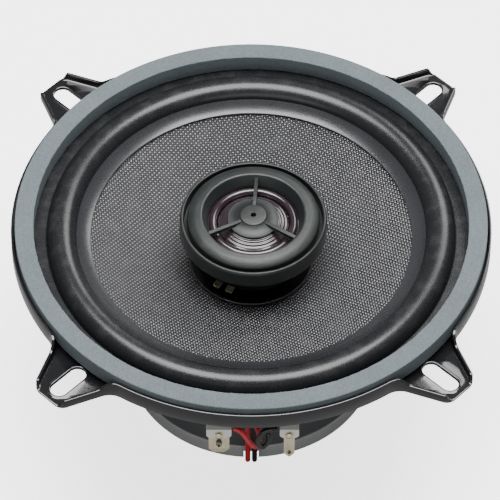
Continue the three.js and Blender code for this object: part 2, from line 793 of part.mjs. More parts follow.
// Slack leads of the tweeter: from the terminals down the motor's side, along the rear plate's
// groove and up through the post.
const redLead = [
  [-4.7, -59.8, 46.7], [-3, -60.3, 46], [-1.6, -60.2, 43.5], [-0.5, -59.9, 40.6], [0.7, -59.3, 37.9],
  [1.6, -58, 36.2], [2.2, -56.3, 37.3], [1.8, -54.6, 39.2], [0.3, -52.4, 39.3], [-0.9, -49.6, 36],
  [-1.1, -46, 30.6], [-1, -42.2, 22.5], [-0.95, -39.2, 14.5], [-0.95, -37.8, 8], [-0.95, -37.6, 3.6],
  [-0.95, -37, 1.8], [-0.95, -35.6, 1.1], [-0.95, -26, 1.1], [-0.95, -15, 1.1], [-0.95, -5.4, 1.1],
  [-0.6, -2.9, 1.7], [-0.4, -1.4, 3.7], [-0.35, -1.2, 8], [-0.35, -1.2, 22], [-0.35, -1.2, 34],
  [-0.35, -0.4, 37.6], [-0.35, 0.8, 39.9],
];
const blackLead = [
  [7.1, -59.8, 46.5], [5, -60.3, 46.7], [3, -60.7, 45.7], [1.9, -60.9, 43.1], [2.1, -60.7, 40.5],
  [3, -60.2, 38.8], [4.2, -59.8, 39.8], [4.8, -59.4, 41.6], [4.6, -58.8, 42.9], [3.7, -56.8, 42.3],
  [2.7, -54, 40.7], [1.9, -50.4, 36.8], [1.2, -46.2, 30.8], [1, -42.2, 22.5], [0.95, -39.2, 14.5],
  [0.95, -37.8, 8], [0.95, -37.6, 3.6], [0.95, -37, 1.8], [0.95, -35.6, 1.1], [0.95, -26, 1.1],
  [0.95, -15, 1.1], [0.95, -5.4, 1.1], [1.3, -2.9, 1.7], [1.5, -1.4, 3.7], [1.55, -1.2, 8],
  [1.55, -1.2, 22], [1.55, -1.4, 36], [1.9, -1.7, 41], [1.9, -1.7, 46.4],
];

function tinsel({ centre }) {
  const lean = Math.sign(centre);
  return wire([
    [centre, -48.7, 45], [centre, -46.4, 44],
    [centre - lean * 0.8, -42, 42.9], [centre - lean * 1.8, -37.5, 44],
    [centre - lean * 2.6, -34, 46.6], [centre - lean * 3, -32, 48.6],
  ], tinselDiameter, 6, 12);
}

// ---------------------------------------------------------------- assembly
const speaker = new THREE.Group();
const tweeter = new THREE.Group();
tweeter.position.x = tweeterOffset;
speaker.add(tweeter);

function add(name, geometry, material, group = speaker) {
  const mesh = new THREE.Mesh(solid(geometry), material);
  mesh.name = name;
  group.add(mesh);
}

add('basket', basket(), paint());
add('gasket', ring(gasketInnerRadius, gasketOuterRadius, gasketBottom, gasketTop, ROUND), foam());
add('yoke', yoke(), steel());
add('magnet', magnet(), ferrite());
add('top_plate', topPlate(), steel());

add('cone', turned(coneProfile()), weave());
add('neck_ring', neckRing(), blackPlastic());
add('surround', surround(), rubber());
add('spider', spider(), spiderCloth());
const coilFormer = ring(formerInner, formerOuter, topPlateBottom - 2, neckTop + formerProud);
add('voice_coil_former', coilFormer, formerFilm());
add('voice_coil_winding', windingRing(coilInner, coilOuter, coilMiddle, coilHeight), copper());

add('tweeter_post', tweeterPost(), blackPlastic(), tweeter);
add('post_nut', postNut(), blackPlastic(), tweeter);
add('tweeter_housing', tweeterHousing(), blackPlastic(), tweeter);
add('tweeter_face', tweeterFace(), sandedPlastic(), tweeter);
add('tweeter_dome', tweeterDome(), domeFilm(), tweeter);
add('tweeter_suspension', tweeterSuspension(), domeFilm(), tweeter);
add('tweeter_coil_former', tweeterFormer(), formerFilm(), tweeter);
add('tweeter_coil_winding', tweeterWinding(), copper(), tweeter);
add('tweeter_yoke', tweeterYoke(), steel(), tweeter);
add('tweeter_magnet', disc(tweeterMagnetRadius, tweeterMagnetBottom, tweeterMagnetTop), nickel(), tweeter);
add('tweeter_pole_plate', disc(tweeterPoleRadius, tweeterMagnetTop + FIT_GAP, potTop), steel(), tweeter);
add('tweeter_tag_positive', tweeterTag(tagAngles.positive), brass(), tweeter);
add('tweeter_tag_negative', tweeterTag(tagAngles.negative), brass(), tweeter);
add('filter_capacitor', filterCapacitor(), sleeve(), tweeter);

for (const terminal of terminals) {
  add(`insulator_${terminal.side}`, insulator(terminal), clearPlastic());
  add(`terminal_${terminal.side}`, terminalTab(terminal), brass());
  add(`rivet_${terminal.side}`, rivet(terminal), brass());
  add(`tinsel_lead_${terminal.side}`, tinsel(terminal), copper());
}
add('lead_red', wire(redLead, leadDiameter, 8, 46), redInsulation());
add('lead_black', wire(blackLead, leadDiameter, 8, 48), blackInsulation());

export default speaker;
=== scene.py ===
import math

import bmesh
import bpy
import numpy as np
from bpy.props import FloatProperty, FloatVectorProperty, PointerProperty
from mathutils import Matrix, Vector
from mathutils.geometry import tessellate_polygon


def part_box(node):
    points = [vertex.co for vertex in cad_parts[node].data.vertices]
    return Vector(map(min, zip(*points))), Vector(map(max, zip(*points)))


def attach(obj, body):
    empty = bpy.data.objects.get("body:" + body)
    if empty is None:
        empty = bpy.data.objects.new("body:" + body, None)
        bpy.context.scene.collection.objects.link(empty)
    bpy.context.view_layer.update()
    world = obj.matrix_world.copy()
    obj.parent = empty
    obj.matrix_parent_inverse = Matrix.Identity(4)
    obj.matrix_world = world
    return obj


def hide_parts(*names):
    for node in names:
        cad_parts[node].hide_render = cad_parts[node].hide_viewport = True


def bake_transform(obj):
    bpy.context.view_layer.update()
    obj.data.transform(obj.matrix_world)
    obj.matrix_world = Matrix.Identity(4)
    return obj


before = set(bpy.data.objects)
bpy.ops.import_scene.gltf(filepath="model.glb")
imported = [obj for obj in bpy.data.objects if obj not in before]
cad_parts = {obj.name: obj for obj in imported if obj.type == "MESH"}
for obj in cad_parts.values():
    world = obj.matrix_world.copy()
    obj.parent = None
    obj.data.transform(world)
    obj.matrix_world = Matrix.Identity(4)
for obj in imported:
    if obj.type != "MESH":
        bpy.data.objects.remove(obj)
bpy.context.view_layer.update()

bl_info = {
    "name": "Coaxial Car Speaker",
    "version": (1, 0, 0),
    "blender": (4, 5, 0),
    "location": "View3D > Sidebar > Speaker",
    "description": "Builds a coaxial car speaker with a woven cone on its CAD part",
    "category": "Add Mesh",
}

MM = 0.001
FINE = 256  # sides of a large turned piece
MEDIUM = 128  # sides of a small turned piece
EAR_COUNT = 4
EAR_TURN = math.radians(1)


def span(node):
    """Lowest and highest height of a CAD node, in millimetres."""
    low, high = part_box(node)
    return low.z / MM, high.z / MM


def middle_x(node):
    """Place of a CAD node's middle along X, in millimetres."""
    low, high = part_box(node)
    return (low.x + high.x) / 2 / MM


# Heights in millimetres, read from the CAD part
REAR_BOTTOM, POLE_TOP = span("yoke")
MAGNET_BOTTOM, MAGNET_TOP = span("magnet")
TOP_PLATE_BOTTOM, TOP_PLATE_TOP = span("top_plate")
SEAT, LIP_TOP = span("basket")
GASKET_BOTTOM, GASKET_TOP = span("gasket")
NUT_BOTTOM, NUT_TOP = span("post_nut")
POST_BOTTOM, SPIGOT_TOP = span("tweeter_post")
HOUSING_BOTTOM, RING_TOP = span("tweeter_housing")
FACE_BOTTOM, FACE_TOP = span("tweeter_face")
DOME_BASE, DOME_TOP = span("tweeter_dome")
POT_BOTTOM, POT_TOP = span("tweeter_yoke")
CAPACITOR_BOTTOM, CAPACITOR_TOP = span("filter_capacitor")
FORMER_BOTTOM, FORMER_TOP = span("voice_coil_former")
WINDING_BOTTOM, WINDING_TOP = span("voice_coil_winding")
CONE_TOP = span("cone")[1]
TWEETER_X = middle_x("tweeter_housing")


# ------------------------------------------------------------------ sizes and colours
def length(name, text, default):
    return FloatProperty(name=name, description=text, default=default, min=0, unit="LENGTH", precision=5)


def colour(name, text, default):
    return FloatVectorProperty(
        name=name, description=text, default=default, subtype="COLOR", size=3, min=0, max=1
    )


class SpeakerSizes(bpy.types.PropertyGroup):
    """Sizes that a user would change"""

    rim_radius: length("Rim radius", "Outside of the basket's rim", 0.0661)
    rim_wall: length("Rim wall", "Thickness of the upturned lip", 0.0008)
    lip_height: length("Lip height", "Lip over the flange", 0.0046)
    ear_wall_height: length("Ear wall height", "Upturned sides of the ears", 0.0024)
    ear_tip_radius: length("Ear tip radius", "Axis to the ears' tips", 0.0788)
    ear_tip_half_width: length("Ear tip half width", "Half of the ears' width at the tip", 0.0049)
    ear_root_half_width: length("Ear root half width", "Half of the ears' width at the rim", 0.011)
    slot_radius: length("Slot radius", "Axis to the middle of the screw slots", 0.0708)
    slot_length: length("Slot length", "Whole length of a screw slot", 0.0116)
    slot_width: length("Slot width", "Width of a screw slot", 0.0049)
    gasket_width: length("Gasket width", "Radial width of the gasket ring", 0.0052)
    roll_radius: length("Roll radius", "Half roll of the surround", 0.0043)
    roll_centre: length("Roll centre radius", "Axis to the middle of the half roll", 0.05225)
    band_inner: length("Glue band inner radius", "Inner edge of the glue band", 0.0443)
    weave_pitch: length("Weave pitch", "Distance between two yarns of the cone", 0.00067)
    weave_turn: FloatProperty(
        name="Weave turn", description="Turn of the weave about the axis",
        default=math.radians(7), subtype="ANGLE",
    )
    opening_radius: length("Tweeter opening radius", "Opening in the tweeter's face", 0.014)
    blade_thickness: length("Blade thickness", "Blades that hold the hub", 0.001)
    lead_diameter: length("Lead diameter", "Insulated leads", 0.0015)


class SpeakerColours(bpy.types.PropertyGroup):
    """Colours that a user would change"""

    paint: colour("Paint", "Gloss paint of the basket", (0.006, 0.006, 0.007))
    gasket: colour("Gasket", "Fibre of the gasket ring", (0.115, 0.138, 0.146))
    # Light colour of one yarn, which the weave shows only on that yarn's crowns as a painted highlight.
    yarn_bright_and_crown_highlight: colour("Bright yarn", "Crowns of the weave's bright yarn", (0.5, 0.5, 0.535))
    yarn_dark: colour("Dark yarn", "Crowns of the weave's dark yarn", (0.008, 0.008, 0.009))
    yarn_gap: colour("Weave gaps", "Resin between the yarns", (0.004, 0.004, 0.005))
    rubber: colour("Rubber", "Surround's rubber", (0.009, 0.0095, 0.0105))
    band: colour("Glue band", "Pressed cloth of the glue band", (0.024, 0.0245, 0.027))
    face: colour("Tweeter face", "Sanded plastic of the tweeter's face", (0.012, 0.0145, 0.014))
    housing: colour("Tweeter housing", "Plastic of the housing and the post", (0.011, 0.0125, 0.0125))
    dome: colour("Dome", "Film of the tweeter's dome", (0.02, 0.012, 0.016))
    red_lead: colour("Red lead", "Insulation of the positive lead", (0.68, 0.022, 0.028))
    black_lead: colour("Black lead", "Insulation of the negative lead", (0.012, 0.012, 0.013))
    floor: colour("Floor", "Studio floor", (0.95, 0.95, 0.95))


def sizes():
    return bpy.context.scene.speaker_sizes


def colours():
    return bpy.context.scene.speaker_colours


# ------------------------------------------------------------------ meshes
def rounded(corners, steps=5):
    """Outline of (x, y, fillet) corners, closed, with each corner rounded by its fillet."""
    made = []
    count = len(corners)
    for i, corner in enumerate(corners):
        point = np.array(corner[:2], float)
        fillet = corner[2] if len(corner) > 2 else 0
        before = np.array(corners[i - 1][:2], float) - point
        after = np.array(corners[(i + 1) % count][:2], float) - point
        reach = min(fillet, 0.45 * np.linalg.norm(before), 0.45 * np.linalg.norm(after))
        if reach < 1e-4:
            made.append(tuple(point))
            continue
        start = point + before / np.linalg.norm(before) * reach
        end = point + after / np.linalg.norm(after) * reach
        for step in range(steps + 1):
            t = step / steps
            made.append(tuple((1 - t) ** 2 * start + 2 * t * (1 - t) * point + t * t * end))
    return made


def arc(centre, height, radius, first, last, steps):
    angles = np.radians(np.linspace(first, last, steps + 1))
    return [(centre + radius * math.cos(a), height + radius * math.sin(a)) for a in angles]


def object_from(mesh_data, name, smooth=35):
    """New object from a bmesh in millimetres. Edges sharper than smooth degrees stay crisp."""
    bmesh.ops.remove_doubles(mesh_data, verts=mesh_data.verts, dist=1e-4)
    bmesh.ops.recalc_face_normals(mesh_data, faces=mesh_data.faces)
    bmesh.ops.scale(mesh_data, vec=(MM, MM, MM), verts=mesh_data.verts)
    mesh = bpy.data.meshes.new(name)
    mesh_data.to_mesh(mesh)
    mesh_data.free()
    mesh.shade_smooth()
    mesh.set_sharp_from_angle(angle=math.radians(smooth))
    made = bpy.data.objects.new(name, mesh)
    bpy.context.scene.collection.objects.link(made)
    return made


def revolve(mesh_data, profile, sides=FINE, centre=(0, 0), closed=True, wobble=None):
    """Adds a turned shell. wobble(radius, height, angles) gives each angle's radius."""
    angles = np.linspace(0, 2 * math.pi, sides, endpoint=False)
    rings = []
    for radius, height in profile:
        radii = np.full(sides, radius) if wobble is None else wobble(radius, height, angles)
        rings.append([
            mesh_data.verts.new((centre[0] + r * math.cos(a), centre[1] + r * math.sin(a), height))
            for r, a in zip(radii, angles)
        ])
    pairs = list(zip(rings, rings[1:]))
    if closed:
        pairs.append((rings[-1], rings[0]))
    for low, high in pairs:
        for i in range(sides):
            j = (i + 1) % sides
            mesh_data.faces.new((low[i], low[j], high[j], high[i]))
    return mesh_data


def turned(name, profile, sides=FINE, centre=(0, 0), closed=True, smooth=35, wobble=None):
    """Turned piece from an outline of (radius, height), in millimetres."""
    return object_from(revolve(bmesh.new(), profile, sides, centre, closed, wobble), name, smooth)


def fill(mesh_data, loops, height):
    """Flat face with holes, from an outer loop and the loops of its holes."""
    points = [[Vector((x, y, height)) for x, y in loop] for loop in loops]
    verts = [mesh_data.verts.new(p) for loop in points for p in loop]
    for triangle in tessellate_polygon(points):
        mesh_data.faces.new([verts[i] for i in triangle])


def bands(mesh_data, rings):
    """Joins rings of (x, y, z) points, each with the same number of points."""
    rows = [[mesh_data.verts.new(p) for p in ring] for ring in rings]
    for low, high in zip(rows, rows[1:]):
        for i in range(len(low)):
            j = (i + 1) % len(low)
            mesh_data.faces.new((low[i], low[j], high[j], high[i]))


def slab(loops, low, high):
    """Plate with straight sides and holes, as a bmesh."""
    mesh_data = bmesh.new()
    fill(mesh_data, loops, low)
    fill(mesh_data, loops, high)
    for loop in loops:
        bands(mesh_data, [[(x, y, low) for x, y in loop], [(x, y, high) for x, y in loop]])
    return mesh_data


def upright(mesh_data, x, y):
    """Stands a plate on edge: its second axis becomes the height, and its thickness runs along -Y from y."""
    for vert in mesh_data.verts:
        vert.co = Vector((vert.co.x + x, y - vert.co.z, vert.co.y))
    return mesh_data


def apply_modifiers(made):
    graph = bpy.context.evaluated_depsgraph_get()
    fresh = bpy.data.meshes.new_from_object(made.evaluated_get(graph))
    old = made.data
    made.modifiers.clear()
    made.data = fresh
    bpy.data.meshes.remove(old)
    return made


def soften(made, width):
    """Rounds the sharp edges by width, in millimetres."""
    bevel = made.modifiers.new("Soft edges", "BEVEL")
    bevel.width = width * MM
    bevel.segments = 3
    bevel.limit_method = "ANGLE"
    bevel.angle_limit = math.radians(38)
    apply_modifiers(made)
    made.data.shade_smooth()
    made.data.set_sharp_from_angle(angle=math.radians(50))
    return made


def cut(made, cutter):
    """Takes the cutter's shape out of made."""
    taken = made.modifiers.new("Cut", "BOOLEAN")
    taken.operation = "DIFFERENCE"
    taken.solver = "EXACT"
    taken.object = cutter
    apply_modifiers(made)
    bpy.data.objects.remove(cutter)
    made.data.shade_smooth()
    made.data.set_sharp_from_angle(angle=math.radians(35))
    return made


def merge(name, parts):
    """Joins objects into one piece."""
    mesh_data = bmesh.new()
    for part in parts:
        mesh_data.from_mesh(part.data)
        bpy.data.objects.remove(part)
    mesh = bpy.data.meshes.new(name)
    mesh_data.to_mesh(mesh)
    mesh_data.free()
    mesh.shade_smooth()
    mesh.set_sharp_from_angle(angle=math.radians(40))
    made = bpy.data.objects.new(name, mesh)
    bpy.context.scene.collection.objects.link(made)
    return made


def curve_through(points, samples):
    """Even samples of a smooth line through the points (centripetal Catmull-Rom)."""
    p = np.array(points, float)
    p = np.vstack([2 * p[0] - p[1], p, 2 * p[-1] - p[-2]])
    line = []
    for i in range(1, len(p) - 2):
        quad = p[i - 1:i + 3]
        t = np.concatenate([[0], np.cumsum(np.sqrt(np.linalg.norm(np.diff(quad, axis=0), axis=1)))])
        for u in np.linspace(t[1], t[2], 24, endpoint=False):
            a = [((t[k + 1] - u) * quad[k] + (u - t[k]) * quad[k + 1]) / (t[k + 1] - t[k]) for k in range(3)]
            b = [((t[k + 2] - u) * a[k] + (u - t[k]) * a[k + 1]) / (t[k + 2] - t[k]) for k in range(2)]
            line.append(((t[2] - u) * b[0] + (u - t[1]) * b[1]) / (t[2] - t[1]))
    line = np.array(line + [p[-2]])
    along = np.concatenate([[0], np.cumsum(np.linalg.norm(np.diff(line, axis=0), axis=1))])
    even = np.linspace(0, along[-1], samples)
    return np.stack([np.interp(even, along, line[:, k]) for k in range(3)], 1)


def frames_along(line):
    """Side and up directions that turn as little as they can along a line."""
    tangent = np.gradient(line, axis=0)
    tangent /= np.linalg.norm(tangent, axis=1)[:, None]
    side = np.cross(tangent[0], [0, 0, 1.0])
    if np.linalg.norm(side) < 1e-3:
        side = np.array([1.0, 0, 0])
    sides = []
    for t in tangent:
        side = side - t * (side @ t)
        side /= np.linalg.norm(side)
        sides.append(side)
    sides = np.array(sides)
    return sides, np.cross(tangent, sides)


def tube(name, line, diameter, around=20, swirl=None):
    """Round tube along a line with rounded ends. swirl is (radius, turns, phase) of a twisted strand."""
    side, up = frames_along(line)
    if swirl:
        turn = np.linspace(0, 2 * math.pi * swirl[1], len(line)) + swirl[2]
        line = line + swirl[0] * (np.cos(turn)[:, None] * side + np.sin(turn)[:, None] * up)
    radii = np.full(len(line), diameter / 2)
    radii[0] = radii[-1] = diameter * 0.34
    around_angles = np.linspace(0, 2 * math.pi, around, endpoint=False)
    rings = [
        [tuple(p + r * (math.cos(a) * s + math.sin(a) * u)) for a in around_angles]
        for p, r, s, u in zip(line, radii, side, up)
    ]
    mesh_data = bmesh.new()
    bands(mesh_data, rings)
    for ring in (rings[0], rings[-1]):
        mesh_data.faces.new([mesh_data.verts.new(p) for p in ring])
    return object_from(mesh_data, name, 60)


# ------------------------------------------------------------------ shader nodes
class NodeWriter:
    """Short ways to add nodes to a tree and link them."""

    def __init__(self, tree):
        self.tree = tree

    def add(self, kind, **settings):
        node = self.tree.nodes.new(kind)
        for key, value in settings.items():
            setattr(node, key, value)
        return node

    def put(self, socket, value):
        if isinstance(value, bpy.types.NodeSocket):
            self.tree.links.new(value, socket)
        else:
            socket.default_value = value

    def math(self, operation, first, second=0.0, clamp=False):
        node = self.add("ShaderNodeMath", operation=operation, use_clamp=clamp)
        self.put(node.inputs[0], first)
        self.put(node.inputs[1], second)
        return node.outputs[0]

    def mix(self, factor, first, second):
        node = self.add("ShaderNodeMix", data_type="RGBA")
        self.put(node.inputs[0], factor)
        self.put(node.inputs[6], first)
        self.put(node.inputs[7], second)
        return node.outputs[2]

    def blend(self, factor, first, second):
        node = self.add("ShaderNodeMix", data_type="FLOAT")
        self.put(node.inputs[0], factor)
        self.put(node.inputs[2], first)
        self.put(node.inputs[3], second)
        return node.outputs[0]

    def noise(self, vector, scale, detail=3.0):
        node = self.add("ShaderNodeTexNoise")
        self.put(node.inputs["Vector"], vector)
        self.put(node.inputs["Scale"], scale)
        self.put(node.inputs["Detail"], detail)
        return node.outputs["Fac"]

    def range(self, value, low, high, new_low=0.0, new_high=1.0):
        node = self.add("ShaderNodeMapRange", interpolation_type="SMOOTHSTEP")
        for socket, number in zip(node.inputs, (value, low, high, new_low, new_high)):
            self.put(socket, number)
        return node.outputs[0]


def new_group(name, inputs, outputs):
    """Empty node group with its sockets: inputs are (name, kind, default), outputs (name, kind)."""
    tree = bpy.data.node_groups.new(name, "ShaderNodeTree")
    for label, kind, default in inputs:
        socket = tree.interface.new_socket(label, in_out="INPUT", socket_type=kind)
        socket.default_value = default
    for label, kind in outputs:
        tree.interface.new_socket(label, in_out="OUTPUT", socket_type=kind)
    writer = NodeWriter(tree)
    return writer, writer.add("NodeGroupInput").outputs, writer.add("NodeGroupOutput").inputs


FLOAT, COLOUR = "NodeSocketFloat", "NodeSocketColor"


def grain_group():
    """Fine grain that varies roughness and height, over a slow change of tone."""
    if "Grain" in bpy.data.node_groups:
        return bpy.data.node_groups["Grain"]
    inputs = [
        ("Colour", COLOUR, (0.5, 0.5, 0.5, 1)), ("Grains per metre", FLOAT, 3000.0),
        ("Tone", FLOAT, 0.1), ("Roughness", FLOAT, 0.5), ("Roughness change", FLOAT, 0.1),
    ]
    w, into, out = new_group("Grain", inputs, [("Colour", COLOUR), ("Roughness", FLOAT), ("Height", FLOAT)])
    place = w.add("ShaderNodeTexCoord").outputs["Object"]
    fine = w.noise(place, into["Grains per metre"], 4.0)
    slow = w.noise(place, 90.0, 3.0)
    tone = w.math("ADD", w.math("MULTIPLY", fine, 0.75), w.math("MULTIPLY", slow, 0.25))
    swing = w.math("MULTIPLY", w.math("SUBTRACT", tone, 0.5), into["Tone"])
    gain = w.math("ADD", w.math("MULTIPLY", swing, 4.0), 1.0)
    scaled = w.add("ShaderNodeVectorMath", operation="SCALE")
    w.put(scaled.inputs[0], into["Colour"])
    w.put(scaled.inputs["Scale"], gain)
    w.put(out["Colour"], scaled.outputs[0])
    change = w.math("MULTIPLY", w.math("SUBTRACT", tone, 0.5), into["Roughness change"])
    w.put(out["Roughness"], w.math("ADD", into["Roughness"], w.math("MULTIPLY", change, 2.0), clamp=True))
    w.put(out["Height"], fine)
    return w.tree


def dust_group():
    """A little dust that settles on faces that look up."""
    if "Dust" in bpy.data.node_groups:
        return bpy.data.node_groups["Dust"]
    inputs = [("Colour", COLOUR, (0.5, 0.5, 0.5, 1)), ("Roughness", FLOAT, 0.5), ("Amount", FLOAT, 0.1)]
    w, into, out = new_group("Dust", inputs, [("Colour", COLOUR), ("Roughness", FLOAT)])
    place = w.add("ShaderNodeTexCoord").outputs["Object"]
    normal = w.add("ShaderNodeSeparateXYZ")
    w.put(normal.inputs[0], w.add("ShaderNodeNewGeometry").outputs["Normal"])
    up = w.range(normal.outputs["Z"], 0.3, 1.0)
    patches = w.range(w.noise(place, 260.0, 5.0), 0.45, 0.75)
    specks = w.range(w.noise(place, 2600.0, 2.0), 0.66, 0.74)
    cover = w.math("ADD", w.math("MULTIPLY", patches, 0.5), specks, clamp=True)
    amount = w.math("MULTIPLY", w.math("MULTIPLY", cover, up), into["Amount"], clamp=True)
    w.put(out["Colour"], w.mix(amount, into["Colour"], (0.5, 0.49, 0.47, 1)))
    w.put(out["Roughness"], w.blend(amount, into["Roughness"], 0.85))
    return w.tree


def weave_group():
    """Plain weave whose warp and weft cross over and under each other, with a painted highlight on the bright
    yarn's crowns.
    """
    if "Plain Weave" in bpy.data.node_groups:
        return bpy.data.node_groups["Plain Weave"]
    inputs = [
        ("Pitch", FLOAT, 0.00067), ("Turn", FLOAT, 0.12), ("Bright yarn", COLOUR, (0.6, 0.6, 0.6, 1)),
        ("Dark yarn", COLOUR, (0.1, 0.1, 0.1, 1)), ("Gap", COLOUR, (0.01, 0.01, 0.01, 1)),
    ]
    w, into, out = new_group("Plain Weave", inputs, [("Colour", COLOUR), ("Roughness", FLOAT), ("Height",
        FLOAT)])
    place = w.add("ShaderNodeTexCoord").outputs["Object"]
    axes = w.add("ShaderNodeSeparateXYZ")
    w.put(axes.inputs[0], place)
    x, y = axes.outputs["X"], axes.outputs["Y"]
    sine, cosine = w.math("SINE", into["Turn"]), w.math("COSINE", into["Turn"])
    drift = w.math("MULTIPLY", w.math("SUBTRACT", w.noise(place, 60.0, 1.0), 0.5), 0.0006)
    shear = 1.06
    across = w.math("ADD", w.math("MULTIPLY", x, cosine), w.math("MULTIPLY", y, sine))
    down = w.math("SUBTRACT", w.math("MULTIPLY", y, cosine), w.math("MULTIPLY", w.math("MULTIPLY", x,
        sine), shear))
    u = w.math("DIVIDE", w.math("ADD", across, drift), into["Pitch"])
    v = w.math("DIVIDE", w.math("ADD", down, drift), into["Pitch"])
    cells = w.math("ADD", w.math("FLOOR", u), w.math("FLOOR", v))
    over = w.math("MULTIPLY", w.math("FRACT", w.math("MULTIPLY", cells, 0.5)), 2.0)
    wave_u = w.math("SINE", w.math("MULTIPLY", w.math("FRACT", u), math.pi))
    wave_v = w.math("SINE", w.math("MULTIPLY", w.math("FRACT", v), math.pi))

    def yarn(along, side):
        crown = w.math("ADD", w.math("MULTIPLY", along, 0.6), 0.4)
        return w.math("MULTIPLY", w.math("POWER", side, 0.6), crown)

    warp, weft = yarn(wave_u, wave_v), yarn(wave_v, wave_u)
    height = w.blend(over, warp, weft)
    # Painted highlight: the bright yarn takes its colour only on its crowns and fades to the dark gap colour on its
    # sides.
    crown = w.range(height, 0.74, 1.0)
    worn = w.range(w.noise(place, 420.0, 3.0), 0.3, 0.7, 0.72, 1.0)
    bright = w.mix(w.math("MULTIPLY", crown, worn), into["Gap"], into["Bright yarn"])
    dark = w.mix(crown, into["Gap"], into["Dark yarn"])
    w.put(out["Colour"], w.mix(over, bright, dark))
    w.put(out["Roughness"], w.range(height, 0.2, 1.0, 0.6, 0.24))
    w.put(out["Height"], height)
    return w.tree


def use_group(w, tree, **values):
    node = w.add("ShaderNodeGroup", node_tree=tree)
    for label, value in values.items():
        w.put(node.inputs[label.replace("_", " ")], value)
    return node.outputs


def opaque(rgb):
    return (rgb[0], rgb[1], rgb[2], 1)


def new_material(name):
    made = bpy.data.materials.new(name)
    made.use_nodes = True
    w = NodeWriter(made.node_tree)
    return made, w, made.node_tree.nodes["Principled BSDF"].inputs


def bump(w, shader, height, distance, strength=1.0):
    node = w.add("ShaderNodeBump")
    node.inputs["Distance"].default_value = distance
    node.inputs["Strength"].default_value = strength
    w.put(node.inputs["Height"], height)
    w.put(shader["Normal"], node.outputs[0])


def surface(name, rgb, roughness, metallic=0.0, grains=3000.0, tone=0.08, swing=0.08,
            relief=0.000008, dust=0.0, coat=0.0, coat_roughness=0.05, specular=0.5):
    """Material with grain, and with dust where it is asked for. Built once for each name."""
    if name in bpy.data.materials:
        return bpy.data.materials[name]
    made, w, shader = new_material(name)
    grain = use_group(
        w, grain_group(), Colour=opaque(rgb), Grains_per_metre=grains, Tone=tone,
        Roughness=roughness, Roughness_change=swing,
    )
    colour_out, rough_out = grain["Colour"], grain["Roughness"]
    if dust:
        settled = use_group(w, dust_group(), Colour=colour_out, Roughness=rough_out, Amount=dust)
        colour_out, rough_out = settled["Colour"], settled["Roughness"]
    w.put(shader["Base Color"], colour_out)
    w.put(shader["Roughness"], rough_out)
    shader["Metallic"].default_value = metallic
    shader["Coat Weight"].default_value = coat
    shader["Coat Roughness"].default_value = coat_roughness
    shader["Specular IOR Level"].default_value = specular
    bump(w, shader, grain["Height"], relief)
    return made


def paint():
    return surface("Gloss paint", colours().paint, 0.16, grains=900.0, swing=0.06, relief=0.000012, coat=0.6)


def black_plastic():
    return surface("Moulded plastic", colours().housing, 0.34, grains=5200.0, swing=0.12, relief=0.00001,
        dust=0.05)


def steel():
    return surface("Zinc plated steel", (0.5, 0.5, 0.5), 0.5, 0.3, grains=2200.0, tone=0.12, swing=0.16)


def ferrite():
    return surface("Ferrite", (0.085, 0.087, 0.09), 0.62, grains=2600.0, tone=0.2, relief=0.00002)


def copper():
    return surface("Copper", (0.62, 0.27, 0.12), 0.32, 1.0, grains=4000.0)


def former_film():
    return surface("Coil former film", (0.012, 0.012, 0.013), 0.32, coat=0.3)


def brass():
    return surface("Bright brass", (0.96, 0.87, 0.6), 0.3, 1.0, grains=3400.0, tone=0.05, swing=0.14)


def nickel():
    return surface("Nickel", (0.66, 0.66, 0.64), 0.22, 1.0)


def dome_film():
    return surface("Dome film", colours().dome, 0.13, grains=1500.0, swing=0.05, relief=0.000004, coat=0.8,
                   coat_roughness=0.06)


# ------------------------------------------------------------------ placing
def finish_piece(made, body, slot, material, *nodes):
    """Material, body and the CAD nodes that the piece stands for, which it hides. slot is not used."""
    if not made.data.materials:
        made.data.materials.append(material)
    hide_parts(*nodes)
    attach(made, body)
    return made


def finish_bending(made, slot, bodies, still, moving, material, *nodes):
    """Material, hidden CAD nodes and a place baked into the mesh, for a piece that bends in the real speaker. still
    and moving are not used.
    """
    if not made.data.materials:
        made.data.materials.append(material)
    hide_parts(*nodes)
    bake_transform(made)
    co = np.zeros(len(made.data.vertices) * 3, np.float32)
    made.data.vertices.foreach_get("co", co)
    co = co.reshape(-1, 3) / MM
    return made


CONE_BODIES = ("frame", "cone_assembly")
DOME_BODIES = ("frame", "tweeter_diaphragm")


# ------------------------------------------------------------------ basket
def ear_angles():
    return [(i + 0.5) * 2 * math.pi / EAR_COUNT + EAR_TURN for i in range(EAR_COUNT)]


def bezier(start, corner, end, steps):
    for i in range(steps):
        t = i / steps
        yield (1 - t) ** 2 * start + 2 * t * (1 - t) * corner + t * t * end


